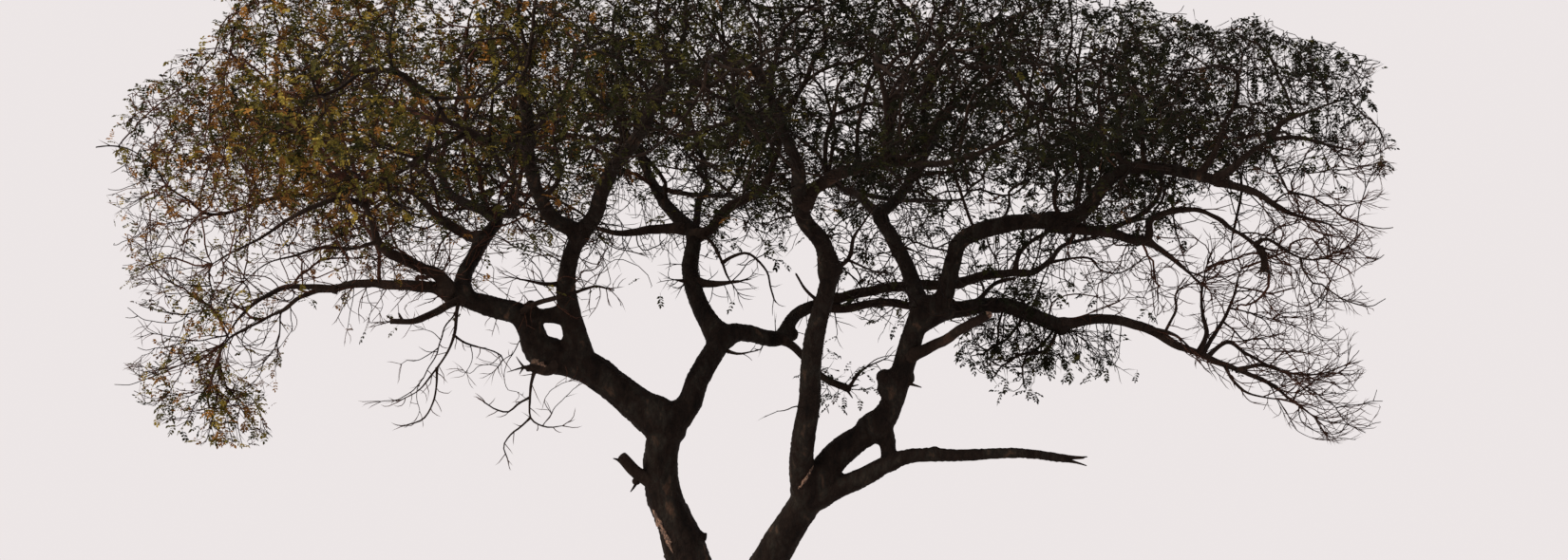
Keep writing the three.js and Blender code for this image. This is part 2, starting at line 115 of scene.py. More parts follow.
# ------------------------------------------------------------------ limbs
# name, parent, share along it, side step m, length m, girth radii m, swing deg, reach deg
LIMBS = [
    ('trunk', None, 0.00, 0.00, 1.99, (0.553, 0.453), (0,), (0,)),
    ('left_stem', 'trunk', 1.00, -0.12, 2.60, (0.335, 0.262, 0.216, 0.199, 0.193), (-19, -18, -19, -22, -3, 11,), (3, 3, 3, 3, 5, 2,)),
    ('right_stem', 'trunk', 1.00, 0.12, 2.97, (0.320, 0.215, 0.182, 0.166, 0.133), (24, 30, 33, 34, 56,), (3, 3, 10, 8, 6,)),
    ('right_stem_upper', 'right_stem', 0.95, 0.00, 1.67, (0.138, 0.127), (41, 21, 17, 17, 20,), (3, 9, 7, 7, 9,)),
    ('left_bough', 'left_stem', 0.97, 0.00, 1.59, (0.171, 0.188), (-58, -51, -58, -75,), (7, 6, 7, 6,)),
    ('left_bough_knee', 'left_bough', 0.96, 0.00, 1.58, (0.149, 0.133, 0.117, 0.083), (-58, -22, -38, -77, -74, -73, -72,), (5, 9, 10, 11, 9, 5, 4,)),
    ('left_long_limb', 'left_bough_knee', 0.92, 0.00, 2.91, (0.072, 0.051, 0.030, 0.018), (-77, -84, -84, -82, -100, -105, -96, -112, -122, -110, -118, -119, -146,), (5, 7, 9, 9, 10, 2, -7, -12, -14, -12, -2, 12, 20,)),
    ('left_inner_bough', 'left_bough', 0.77, 0.00, 3.82, (0.138, 0.100, 0.077, 0.061), (-8, -13, -6, 10, 16, -61, -34, -19, -7, 1, 2, -11,), (17, 24, 29, 24, 20, 29, 41, 49, 50, 49, 52, 54,)),
    ('left_inner_fork_right', 'left_inner_bough', 0.40, 0.00, 2.68, (0.094, 0.061), (47, 23, 33, 49, 43, 31, 41,), (36, 46, 47, 48, 51, 50, 44,)),
    ('left_back_bough', 'left_bough_knee', 0.85, 0.00, 3.65, (0.099, 0.081, 0.054, 0.039), (-7, 4, 18, 17, 18, 24, 22, -54, -60, -59, -55, -40, -27, -20, -16,), (-42, -46, -49, -46, -48, -50, -51, -31, -39, -45, -47, -50, -51, -46, -43,)),
    ('left_back_limb', 'left_back_bough', 0.33, 0.00, 1.90, (0.066, 0.039), (-65, -50, -48, -74,), (-34, -34, -34, -30,)),
    ('left_front_bough', 'left_bough_knee', 0.95, 0.00, 1.85, (0.072, 0.050), (-22, -69, -72, -69, -68, -20, -17, -13, -5,), (26, 31, 31, 39, 41, 54, 53, 54, 55,)),
    ('middle_bough', 'left_stem', 0.97, 0.00, 1.31, (0.133, 0.125), (48, 19, 27, 29,), (-7, -15, -23, -25,)),
    ('middle_rise', 'middle_bough', 0.97, 0.00, 3.58, (0.116, 0.099, 0.066, 0.055), (-30, -16, 3, -38, -34, -24, -19,), (-17, -23, -24, -38, -43, -44, -42,)),
    ('middle_rise_right', 'middle_rise', 0.42, 0.00, 2.08, (0.066, 0.044), (68, 41, 60, 67, 35, 16, 14, 13,), (22, 27, 26, 24, 35, 28, 16, 5,)),
    ('middle_arm', 'middle_bough', 0.98, 0.00, 1.90, (0.105, 0.066), (58, 90, 101, 88, 34, 31, 57, 68, 68,), (-29, -31, -33, -36, -34, -30, -25, -21, -14,)),
    ('middle_arm_outer', 'middle_arm', 0.91, 0.00, 4.19, (0.064, 0.059, 0.035), (71, 77, 83, 86, 80, 74, 85, 81, 53, 35, 65, 65,), (-16, -16, -16, -13, -11, -12, -23, -25, -39, -43, -46, -47,)),
    ('right_front_bough', 'right_stem', 0.61, 0.00, 2.76, (0.138, 0.099), (-16, 5, 9, 2, 7, 15, 16,), (30, 27, 20, 24, 22, 20, 19,)),
    ('right_front_neck', 'right_front_bough', 0.98, 0.00, 3.16, (0.099, 0.088, 0.055, 0.044), (-17, -41, -12, -4, -29, -31, -22, -31,), (32, 36, 45, 52, 49, 57, 54, 58,)),
    ('right_front_right_limb', 'right_front_neck', 0.31, 0.00, 1.58, (0.077, 0.050), (51, 71, 80, 86,), (29, 35, 41, 42,)),
    ('right_back_bough', 'right_stem_upper', 0.94, 0.00, 3.40, (0.094, 0.084, 0.059, 0.050), (-13, -14, -17, -24, -25, -28, 48, 35, 32, 32, 24, 28, 30,), (-38, -36, -33, -30, -28, -26, -33, -40, -40, -39, -42, -41, -41,)),
    ('right_back_left_limb', 'right_back_bough', 0.44, 0.00, 1.88, (0.061, 0.039), (-33, -49, -25,), (-48, -60, -58,)),
    ('right_main_bough', 'right_stem_upper', 0.95, 0.00, 2.12, (0.105, 0.088), (69, 19, 13, 18, 60, 76, 81, 89, 96,), (3, 6, 14, 16, 17, 15, 17, 17, 16,)),
    ('right_main_high', 'right_main_bough', 0.96, 0.00, 2.35, (0.088, 0.055), (83, 49, 37, 57, 92, 103, 107, 113,), (18, 33, 43, 37, 37, 33, 30, 27,)),
    ('right_main_low', 'right_main_bough', 0.97, 0.00, 2.80, (0.072, 0.052, 0.043, 0.035), (102, 99, 90, 96, 106, 97, 10, 53, 80, 95, 120, 134, 123, 120,), (0, -5, -16, -21, -23, -18, 20, 15, 11, 12, 12, 11, 11, 0,)),
    ('right_low_bough', 'right_stem_upper', 0.85, 0.00, 1.96, (0.094, 0.088), (70, 76, 86, 108, 109,), (-17, -19, -22, -23, -18,)),
    ('right_low_outer', 'right_low_bough', 0.95, 0.00, 3.49, (0.066, 0.056, 0.039, 0.022), (78, 83, 101, 114, 111, 114, 113, 112, 123, 128,), (-21, -21, -16, -15, -11, -7, -7, -8, -11, -5,)),
    ('right_low_spur', 'right_stem_upper', 0.58, 0.00, 1.22, (0.066, 0.051), (61, 67, 61,), (36, 35, 31,)),
    ('dead_arm', 'right_stem', 0.60, 0.00, 3.12, (0.122, 0.111, 0.083, 0.066, 0.055, 0.044), (70, 65, 89, 88, 97,), (17, 11, 5, 7, 6,)),
    ('front_left_reach', 'left_inner_bough', 0.80, 0.00, 2.56, (0.062, 0.034), (-121, -108, -83, -34,), (77, 66, 67, 73,)),
    ('front_reach', 'right_front_neck', 0.74, 0.00, 2.43, (0.060, 0.034), (-132, -118, -106, -54, -5,), (74, 72, 75, 82, 67,)),
    ('front_right_reach', 'right_front_right_limb', 0.75, 0.00, 2.66, (0.052, 0.032), (104, 92, 81, 70, 44,), (42, 44, 48, 54, 61,)),
    ('back_left_reach', 'left_back_bough', 0.51, 0.00, 3.70, (0.060, 0.034), (65, 43, -52, -6, 14, -40, -25, -7,), (-67, -76, -71, -75, -73, -71, -67, -62,)),
    ('back_reach', 'middle_rise', 0.74, 0.00, 3.92, (0.058, 0.034), (83, 75, 71, 59, 21, 0,), (-57, -64, -69, -74, -74, -63,)),
    ('back_right_reach', 'right_back_left_limb', 0.56, 0.00, 3.87, (0.052, 0.034), (85, 79, 76, 75, 68, 33,), (-60, -60, -59, -60, -61, -60,)),
]
# slighter limbs, stubs and hanging sprigs that grow on from those
SLIGHT = [
    ('left_long_limb_high', 'left_long_limb', 0.46, 0.00, 1.55, (0.035, 0.019), (-87, -94, -117, -134, -148,), (16, 15, 10, 0, -7,)),
    ('dead_arm_link', 'right_stem_upper', 0.11, 0.00, 0.45, (0.088, 0.077), (157, 175,), (8, 21,)),
    ('stem_stub', 'left_stem', 0.70, 0.00, 0.62, (0.073, 0.064), (-72, -44,), (23, 23,)),
    ('left_stub', 'left_bough_knee', 0.83, 0.00, 1.15, (0.050, 0.033), (-119, -134, -127, -93,), (49, 47, 41, 26,)),
    ('left_stub_spur', 'left_stub', 0.88, 0.00, 0.11, (0.018, 0.010), (-27,), (9,)),
    ('left_scar', 'left_bough', 0.94, 0.00, 0.64, (0.085, 0.060, 0.016), (-140, -88,), (49, 45,)),
    ('left_brace', 'left_inner_bough', 0.16, 0.00, 0.49, (0.083, 0.083), (-93, -92,), (-5, -23,)),
    ('left_inner_twig', 'left_inner_bough', 0.26, 0.00, 0.56, (0.029, 0.022), (-97, -81,), (20, 16,)),
    ('left_inner_cross', 'left_bough_knee', 0.42, 0.00, 1.45, (0.035, 0.022), (71, 72, 77, 78, 74, 69, 81, 105,), (55, 54, 43, 21, -10, 41, 47, 26,)),
    ('middle_cross', 'middle_rise', 0.24, 0.00, 0.27, (0.031, 0.022), (-89,), (39,)),
    ('middle_cross_b', 'middle_rise', 0.24, 0.00, 0.60, (0.031, 0.022), (101, 85,), (31, 13,)),
    ('middle_low_twig', 'middle_bough', 0.89, 0.00, 0.48, (0.024, 0.015), (108, 84,), (1, 21,)),
    ('middle_hang', 'middle_rise', 0.43, 0.00, 1.05, (0.027, 0.013), (116, 150, 156, 150,), (32, 16, 16, 13,)),
    ('middle_hang_b', 'middle_hang', 0.57, 0.00, 1.01, (0.020, 0.010), (61, 80, 126, 141, 168, 164,), (20, 2, 0, 0, 0, 0,)),
    ('middle_level', 'middle_rise', 0.47, 0.00, 1.28, (0.042, 0.029), (-90, -99, -79,), (-3, 14, 28,)),
    ('middle_snake', 'middle_rise', 0.43, 0.00, 2.09, (0.050, 0.033), (12, 2, 25, -28, 14, 32,), (-39, -46, -48, -44, -49, -53,)),
    ('middle_stub_low', 'middle_arm', 0.45, 0.00, 1.18, (0.046, 0.044), (128, 139, 131, 121,), (26, 31, 27, 16,)),
    ('middle_stub_twig', 'middle_stub_low', 0.98, 0.00, 0.57, (0.020, 0.012), (39, 66,), (14, 18,)),
    ('middle_arm_lower', 'middle_arm', 0.81, 0.00, 2.72, (0.057, 0.044), (94, 81, 87, 91, 85, 53, 68,), (-6, -9, -8, -8, -8, -26, -31,)),
    ('right_lump', 'right_stem_upper', 0.36, 0.00, 0.29, (0.088, 0.072), (-44,), (26,)),
    ('right_spur', 'right_stem_upper', 0.45, 0.00, 0.30, (0.035, 0.013), (120,), (29,)),
    ('right_front_twig', 'right_front_bough', 1.00, 0.00, 0.93, (0.029, 0.017), (54, 11, 31, 31,), (-13, -15, -17, -18,)),
    ('right_front_twig_b', 'right_front_twig', 0.23, 0.00, 0.45, (0.017, 0.010), (116,), (19,)),
    ('right_front_spike', 'right_front_bough', 0.85, 0.00, 0.51, (0.020, 0.011), (-51, -34,), (21, 34,)),
    ('right_back_mast', 'right_front_right_limb', 0.80, 0.00, 1.53, (0.050, 0.036), (-3, -22,), (52, 58,)),
    ('right_back_mast_b', 'right_back_mast', 0.50, 0.00, 0.78, (0.033, 0.024), (39, 50,), (42, 49,)),
    ('right_level_twig', 'middle_arm_outer', 0.59, 0.00, 0.99, (0.031, 0.022), (14, 47, 67, 79,), (13, 31, 28, 35,)),
    ('right_loop_twig', 'middle_arm_outer', 0.74, 0.00, 1.27, (0.019, 0.011), (81, 89, 142, 101, 65,), (-7, 0, 33, 29, 33,)),
    ('right_main_low_run', 'right_main_low', 0.42, 0.00, 0.90, (0.040, 0.020), (119, 127,), (-29, -22,)),
    ('right_arch_stump', 'right_main_low', 1.00, 0.00, 0.29, (0.035, 0.040), (158, -177,), (3, 0,)),
    ('right_arch_twig', 'right_main_low', 0.98, 0.00, 0.89, (0.022, 0.013), (65, 119, 129, 120, 99, 78,), (37, 19, 18, 12, -1, 0,)),
    ('right_high_rise', 'right_main_high', 0.98, 0.00, 0.79, (0.046, 0.033), (55, 49, 58,), (5, 0, 0,)),
    ('right_high_rise_b', 'right_high_rise', 0.96, 0.00, 0.87, (0.033, 0.020), (35, 72, 75,), (37, 30, 16,)),
    ('right_high_rise_c', 'right_high_rise', 0.96, 0.00, 1.07, (0.029, 0.018), (81, 96, 99,), (-25, -21, -20,)),
    ('right_high_run', 'right_main_high', 0.98, 0.00, 1.42, (0.046, 0.022), (111, 112, 104,), (2, -16, -20,)),
    ('right_high_up', 'right_main_high', 0.90, 0.00, 0.74, (0.040, 0.027), (29, 18,), (34, 32,)),
    ('right_high_loop', 'right_main_high', 0.07, 0.00, 0.72, (0.027, 0.018), (-30, 7, 49,), (26, 41, 34,)),
    ('right_low_twin', 'right_low_outer', 0.32, 0.00, 0.69, (0.029, 0.020), (103, 114, 132,), (38, 22, 3,)),
    ('right_low_riser', 'right_low_outer', 0.54, 0.00, 1.09, (0.033, 0.017), (17, -16, -5, 15,), (29, 27, 16, 13,)),
    ('right_low_riser_b', 'right_low_outer', 0.55, 0.00, 1.33, (0.029, 0.017), (34, 23,), (-27, -13,)),
    ('right_low_riser_c', 'right_low_outer', 0.40, 0.00, 0.96, (0.022, 0.013), (23, 23, 24, -9, 44, 84,), (54, 49, 18, 20, 19, 18,)),
    ('right_low_fan', 'right_low_outer', 0.57, 0.00, 1.54, (0.029, 0.015), (54, 106, 113, 105,), (-32, -40, -30, -23,)),
    ('right_low_fan_b', 'right_low_outer', 0.68, 0.00, 1.36, (0.027, 0.013), (82, 111, 94, 71,), (36, 27, 15, 2,)),
    ('right_low_fan_c', 'right_low_outer', 0.64, 0.00, 0.92, (0.022, 0.011), (162, 140, 108, 99,), (36, 26, 12, 14,)),
    ('left_back_run', 'left_back_limb', 0.88, 0.00, 4.13, (0.033, 0.013), (-80, -90, -96, -96, -92, -105, -112, -112, -96, -48, -56, -37, -50, -73, -94,), (-28, -15, -4, 1, 8, 9, 16, 17, 24, 27, 22, 20, 26, 20, 15,)),
    ('left_front_run', 'left_front_bough', 0.97, 0.00, 1.94, (0.033, 0.013), (-86, -111, -120, -120, -117, -113,), (33, 18, 5, -7, -18, -20,)),
    ('left_front_run_b', 'left_front_bough', 0.64, 0.00, 1.63, (0.024, 0.011), (-108, -92, -109, -109, -128,), (27, 25, 13, 5, 0,)),
    ('left_high_run', 'left_back_bough', 0.98, 0.00, 2.96, (0.033, 0.018), (-68, -74, -84, -90, -90, -121,), (-19, -11, 0, 15, 24, 21,)),
    ('middle_high_left', 'middle_rise', 0.98, 0.00, 1.60, (0.038, 0.024), (-53, -79, -72, -74,), (-40, -37, -39, -38,)),
    ('left_inner_high', 'left_inner_bough', 0.77, 0.00, 1.09, (0.035, 0.024), (-63, -81, -89,), (-24, -20, -22,)),
    ('left_inner_mid', 'left_inner_bough', 0.58, 0.00, 0.82, (0.033, 0.022), (37, 5, -11,), (-12, 7, 15,)),
    ('left_knee_twigs', 'left_bough_knee', 0.88, 0.00, 1.73, (0.024, 0.011), (176, 177, -177, -162, -146, -141, -119,), (56, 50, 25, 13, 9, -1, 0,)),
    ('left_knee_twigs_b', 'left_knee_twigs', 0.67, 0.00, 0.85, (0.014, 0.008), (-175, -165, -148, -112,), (-29, -14, -10, 1,)),
    ('left_knee_twigs_c', 'left_knee_twigs', 0.42, 0.00, 0.90, (0.014, 0.008), (127, 119, 106, 101, 105, 126, -150,), (-58, -52, -32, -31, -35, -40, 0,)),
    ('left_scar_hang', 'left_scar', 0.69, 0.00, 1.01, (0.020, 0.011), (-170, -177, 176, 116, 89,), (21, 13, 12, 0, 0,)),
    ('left_scar_hang_b', 'left_scar_hang', 0.59, 0.00, 0.61, (0.013, 0.008), (-134, -129, -148, 159,), (1, 0, 0, 0,)),
    ('left_scar_hang_c', 'left_scar_hang', 0.35, 0.00, 0.61, (0.013, 0.008), (-123, -130, -79, -59,), (22, -1, 0, 0,)),
]

FORK_RISE = 0.46
TRUNK_FLARE, FLARE_HEIGHT = 0.17, 0.36
BUTTRESSES, BUTTRESS_DEPTH = 5, 0.16
FORK_SLIMMING = 0.24                             # how much less deep than wide the bole is at the fork
VOXEL = 0.026                                    # grain of the bark mesh
THICK = 0.080                                    # limbs at least this thick are grown into one skin


def smooth_line(points, step):
    """Points at even steps along a smooth curve through the given ones."""
    p = np.asarray(points, float)
    if len(p) == 2:
        dense = p
    else:
        ext = np.vstack([2 * p[0] - p[1], p, 2 * p[-1] - p[-2]])
        out = []
        t = np.linspace(0, 1, 14, endpoint=False)[:, None]
        for i in range(len(p) - 1):
            p0, p1, p2, p3 = ext[i:i + 4]
            d0, d1, d2 = (max(1e-4, np.linalg.norm(a - b) ** 0.5) for a, b in ((p0, p1), (p1, p2), (p2, p3)))
            m1 = ((p1 - p0) / d0 - (p2 - p0) / (d0 + d1) + (p2 - p1) / d1) * d1
            m2 = ((p2 - p1) / d1 - (p3 - p1) / (d1 + d2) + (p3 - p2) / d2) * d1
            out.append(p1 + m1 * t + (3 * (p2 - p1) - 2 * m1 - m2) * t ** 2 + (2 * (p1 - p2) + m1 + m2) * t ** 3)
        out.append(p[-1:])
        dense = np.vstack(out)
    seg = np.linalg.norm(np.diff(dense, axis=0), axis=1)
    s = np.concatenate([[0], np.cumsum(seg)])
    n = max(2, int(round(s[-1] / step)) + 1)
    at = np.linspace(0, s[-1], n)
    return np.stack([np.interp(at, s, dense[:, k]) for k in range(3)], 1)


# limbs that are slimmer or stouter in their bark than their first girth
BUILD = {"back_reach": 0.62, "back_right_reach": 0.66, "front_right_reach": 0.72, "front_reach": 0.85, "middle_level": 1.4, "middle_cross_b": 1.5}

axes = {}
for name, parent, share, side, length, radii, swing, reach in LIMBS + SLIGHT:
    start = np.zeros(3)
    if parent:
        p = axes[parent]["points"]
        f = min(0.999999, share) * (len(p) - 1)
        i = int(f)
        start = p[i] + (p[i + 1] - p[i]) * (f - i) + np.array([side, 0, 0])
    pts = [start]
    for s, r in zip(swing, reach):
        a, b = math.radians(s), math.radians(r)
        pts.append(pts[-1] + length / len(swing) * np.array([math.cos(b) * math.sin(a), -math.sin(b), math.cos(b) * math.cos(a)]))
    axes[name] = {"parent": parent, "points": np.array(pts), "radii": np.array(radii) * BUILD.get(name, 1.0), "length": length, "share": share}


def girth(name, t):
    r = axes[name]["radii"]
    return np.interp(np.clip(t, 0, 1), np.linspace(0, 1, len(r)), r)


# ------------------------------------------------------------------ noise
def _lattice(i, seed):
    h = (i[..., 0] * 73856093) ^ (i[..., 1] * 19349663) ^ (i[..., 2] * 83492791) ^ (seed * 2654435761)
    h = (h ^ (h >> 13)) * 1274126177
    h = h ^ (h >> 16)
    return ((h & 0xFFFFFF) / float(0x7FFFFF)) - 1.0


def noise(p, seed=1):
    """Smooth noise between -1 and 1 at points."""
    p = np.asarray(p, float)
    i = np.floor(p).astype(np.int64)
    f = p - i
    u = f * f * f * (f * (f * 6 - 15) + 10)
    total = 0
    for dx in (0, 1):
        for dy in (0, 1):
            for dz in (0, 1):
                w = (u[..., 0] if dx else 1 - u[..., 0]) * (u[..., 1] if dy else 1 - u[..., 1]) * (u[..., 2] if dz else 1 - u[..., 2])
                total = total + w * _lattice(i + np.array([dx, dy, dz]), seed)
    return total


def rough(p, seed=1, octaves=3):
    total, amp, norm = 0, 1.0, 0
    for k in range(octaves):
        total = total + amp * noise(p * 2.03 ** k, seed + 17 * k)
        norm += amp
        amp *= 0.5
    return total / norm


# the crown's outline in the front view: leftmost and rightmost place in each row, lowest row in each column
ROWS = np.arange(-60, 600).astype(float)
_ragged = [np.interp(ROWS, [150, 190, 400, 440], deep) * np.abs(noise(np.stack([ROWS / 11.0, ROWS / 37.0, 0 * ROWS], -1), k))
           for k, deep in ((501, (15, 42, 36, 15)), (503, (20, 46, 30, 15)))]
LEFTMOST = _ragged[0] + np.interp(ROWS, [0, 45, 75, 100, 150, 160, 200, 260, 330, 400, 420, 445, 470],
                                  [250, 196, 160, 126, 94, 96, 108, 110, 128, 118, 136, 158, 195])
RIGHTMOST = -_ragged[1] + np.interp(ROWS, [8, 12, 38, 42, 55, 70, 85, 105, 130, 150, 240, 268, 315, 350, 370, 423, 445, 463, 475],
                                    [1318, 1338, 1352, 1404, 1444, 1468, 1454, 1444, 1468, 1476, 1472, 1462, 1462, 1440, 1440, 1460, 1458, 1434, 1405])
LEFTMOST[ROWS < 0], RIGHTMOST[ROWS < 0] = -1e9, 1e9
COLUMNS = np.array([90, 110, 140, 190, 240, 285, 292, 300, 312, 345, 346, 1199, 1200, 1250, 1300, 1340, 1380, 1420, 1440, 1470.0])
LOWEST = np.array([300, 405, 440, 470, 474, 466, 440, 365, 345, 335, 900, 900, 352, 384, 414, 442, 466, 474, 466, 440.0])


# highest row of the crown in each column, on the right where its top shows
TOP_COLUMNS = (1180, 1192, 1200, 1212, 1225, 1240, 1256, 1270, 1286, 1300, 1316, 1332, 1346)
HIGHEST = (-400, -60, 0, 3, 10, 15, 25, 24, 33, 22, 14, 16, 33)


def within(p):
    """Whether points show inside the crown's outline in the front view."""
    u, v = shows(p)
    return (u > np.interp(v, ROWS, LEFTMOST)) & (u < np.interp(v, ROWS, RIGHTMOST)) & (v < np.interp(u, COLUMNS, LOWEST)) & (v > np.interp(u, TOP_COLUMNS, HIGHEST))


# ------------------------------------------------------------------ meshes
class Soup:
    """Collects vertices and faces of one piece."""

    def __init__(self):
        self.v, self.f3, self.f4, self.m3, self.m4, self.n = [], [], [], [], [], 0

    def add(self, verts, tris=None, quads=None, mat=0):
        verts = np.asarray(verts, np.float32).reshape(-1, 3)
        if tris is not None and len(tris):
            t = np.asarray(tris, np.int64) + self.n
            self.f3.append(t)
            self.m3.append(np.broadcast_to(np.asarray(mat), (len(t),)))
        if quads is not None and len(quads):
            q = np.asarray(quads, np.int64) + self.n
            self.f4.append(q)
            self.m4.append(np.broadcast_to(np.asarray(mat), (len(q),)))
        self.v.append(verts)
        self.n += len(verts)

    def triangles(self):
        return sum(len(t) for t in self.f3) + 2 * sum(len(q) for q in self.f4)

    def make(self, name, materials, smooth=True):
        v = np.vstack(self.v)
        f3 = np.vstack(self.f3) if self.f3 else np.zeros((0, 3), np.int64)
        f4 = np.vstack(self.f4) if self.f4 else np.zeros((0, 4), np.int64)
        me = bpy.data.meshes.new(name)
        me.vertices.add(len(v))
        me.vertices.foreach_set("co", v.ravel())
        loops = np.concatenate([f3.ravel(), f4.ravel()]).astype(np.int32)
        me.loops.add(len(loops))
        me.loops.foreach_set("vertex_index", loops)
        me.polygons.add(len(f3) + len(f4))
        starts = np.concatenate([np.arange(len(f3)) * 3, len(f3) * 3 + np.arange(len(f4)) * 4]).astype(np.int32)
        me.polygons.foreach_set("loop_start", starts)
        mats = np.concatenate(self.m3 + self.m4).astype(np.int32)
        me.polygons.foreach_set("material_index", mats)
        me.polygons.foreach_set("use_smooth", np.full(len(starts), smooth))
        me.update(calc_edges=True)
        me.validate()
        ob = bpy.data.objects.new(name, me)
        bpy.context.scene.collection.objects.link(ob)
        for m in materials:
            me.materials.append(m)
        return ob


def rings_along(p):
    """Tangents and two side directions that turn as little as possible along a line."""
    t = np.gradient(p, axis=0)
    t /= np.linalg.norm(t, axis=1)[:, None] + 1e-12
    a = np.array([0, 0, 1.0]) if abs(t[0, 2]) < 0.9 else np.array([1.0, 0, 0])
    n = np.cross(t[0], a)
    n /= np.linalg.norm(n)
    normals = [n]
    for k in range(1, len(p)):
        n = n - t[k] * (n @ t[k])
        n /= np.linalg.norm(n) + 1e-12
        normals.append(n)
    n = np.array(normals)
    return t, n, np.cross(t, n)


def tube(soup, p, r, sides, mat=0, push=None, pointed=False):
    """A closed tube along p with radii r; push(points, outward) moves its skin in or out."""
    t, n, b = rings_along(p)
    th = np.arange(sides) * 2 * math.pi / sides
    out = n[:, None] * np.cos(th)[None, :, None] + b[:, None] * np.sin(th)[None, :, None]
    v = p[:, None] + out * np.asarray(r)[:, None, None]
    if push is not None:
        v = v + out * push(v, out)[..., None]
    k = len(p)
    v = v.reshape(-1, 3)
    i = np.arange(k - 1)[:, None] * sides
    j = np.arange(sides)[None]
    jn = (j + 1) % sides
    quads = np.stack([i + j, i + jn, i + sides + jn, i + sides + j], -1).reshape(-1, 4)
    tip = p[-1] + t[-1] * (r[-1] * (1.6 if pointed else 0.35))
    foot = p[0] - t[0] * r[0] * 0.3
    verts = np.vstack([v, tip, foot])
    last = (k - 1) * sides
    tris = [[last + a, last + (a + 1) % sides, k * sides] for a in range(sides)]
    tris += [[(a + 1) % sides, a, k * sides + 1] for a in range(sides)]
    soup.add(verts, tris, quads, mat)


def ball(soup, centre, radii, detail=2, mat=0):
    bm = bmesh.new()
    bmesh.ops.create_icosphere(bm, subdivisions=detail, radius=1.0)
    v = np.array([x.co for x in bm.verts]) * np.asarray(radii) + np.asarray(centre)
    bm.verts.index_update()
    f = [[x.index for x in face.verts] for face in bm.faces]
    bm.free()
    soup.add(v, f, None, mat)


# ------------------------------------------------------------------ materials
def lin(hexa):
    c = [int(hexa[i:i + 2], 16) / 255 for i in (1, 3, 5)]
    return tuple(x / 12.92 if x <= 0.04045 else ((x + 0.055) / 1.055) ** 2.4 for x in c) + (1.0,)


def new_material(name):
    m = bpy.data.materials.new(name)
    m.use_nodes = True
    nt = m.node_tree
    return m, nt, nt.nodes["Principled BSDF"]


def ramp(nt, source, stops, interpolation='LINEAR'):
    r = nt.nodes.new("ShaderNodeValToRGB")
    r.color_ramp.interpolation = interpolation
    e = r.color_ramp.elements
    while len(e) < len(stops):
        e.new(0.5)
    for k, (at, colour) in enumerate(stops):
        e[k].position, e[k].color = at, colour
    nt.links.new(source, r.inputs[0])
    return r.outputs[0]


def mix(nt, factor, a, b, mode='MIX'):
    m = nt.nodes.new("ShaderNodeMix")
    m.data_type, m.blend_type = 'RGBA', mode
    for socket, value in ((m.inputs[0], factor), (m.inputs[6], a), (m.inputs[7], b)):
        if isinstance(value, bpy.types.NodeSocket):
            nt.links.new(value, socket)
        else:
            socket.default_value = value
    return m.outputs[2]


def noise_node(nt, vector, scale, detail=4.0, rough_=0.6, distort=0.0):
    n = nt.nodes.new("ShaderNodeTexNoise")
    n.inputs["Scale"].default_value = scale
    n.inputs["Detail"].default_value = detail
    n.inputs["Roughness"].default_value = rough_
    n.inputs["Distortion"].default_value = distort
    nt.links.new(vector, n.inputs["Vector"])
    return n.outputs[0]


def bark_material(name, tones, patch, fine, bump=0.5, lift=0.012):
    m, nt, p = new_material(name)
    co = nt.nodes.new("ShaderNodeTexCoord").outputs["Object"]
    squash = nt.nodes.new("ShaderNodeMapping")
    squash.inputs["Scale"].default_value = (1.0, 1.0, 0.55)
    nt.links.new(co, squash.inputs["Vector"])
    vec = squash.outputs[0]
    broad = noise_node(nt, vec, patch, 5.0, 0.62, 0.4)
    small = noise_node(nt, vec, fine, 8.0, 0.68)
    plates = nt.nodes.new("ShaderNodeTexVoronoi")
    plates.feature = 'DISTANCE_TO_EDGE'
    plates.inputs["Scale"].default_value = fine * 0.62
    plates.inputs["Randomness"].default_value = 1.0
    nt.links.new(vec, plates.inputs["Vector"])
    base = ramp(nt, broad, [(0.30, tones[0]), (0.48, tones[1]), (0.60, tones[2]), (0.74, tones[3])])
    grain = ramp(nt, small, [(0.30, (0.45, 0.43, 0.42, 1)), (0.62, (1.15, 1.12, 1.10, 1))])
    col = mix(nt, 0.85, base, grain, 'MULTIPLY')
    crack = ramp(nt, plates.outputs["Distance"], [(0.0, (0.35, 0.30, 0.28, 1)), (0.09, (1, 1, 1, 1))])
    col = mix(nt, 0.35, col, crack, 'MULTIPLY')
    nt.links.new(col, p.inputs["Base Color"])
    r = nt.nodes.new("ShaderNodeMapRange")
    r.inputs["To Min"].default_value, r.inputs["To Max"].default_value = 0.74, 0.98
    nt.links.new(small, r.inputs["Value"])
    nt.links.new(r.outputs[0], p.inputs["Roughness"])
    p.inputs["Specular IOR Level"].default_value = 0.10
    height = nt.nodes.new("ShaderNodeMath")
    height.operation = 'MULTIPLY_ADD'
    height.inputs[1].default_value = 0.9
    nt.links.new(small, height.inputs[0])
    edge = nt.nodes.new("ShaderNodeMath")
    edge.operation = 'MINIMUM'
    edge.inputs[1].default_value = 0.16
    nt.links.new(plates.outputs["Distance"], edge.inputs[0])
    nt.links.new(edge.outputs[0], height.inputs[2])
    b = nt.nodes.new("ShaderNodeBump")
    b.inputs["Strength"].default_value = bump
    b.inputs["Distance"].default_value = lift
    nt.links.new(height.outputs[0], b.inputs["Height"])
    nt.links.new(b.outputs[0], p.inputs["Normal"])
    return m


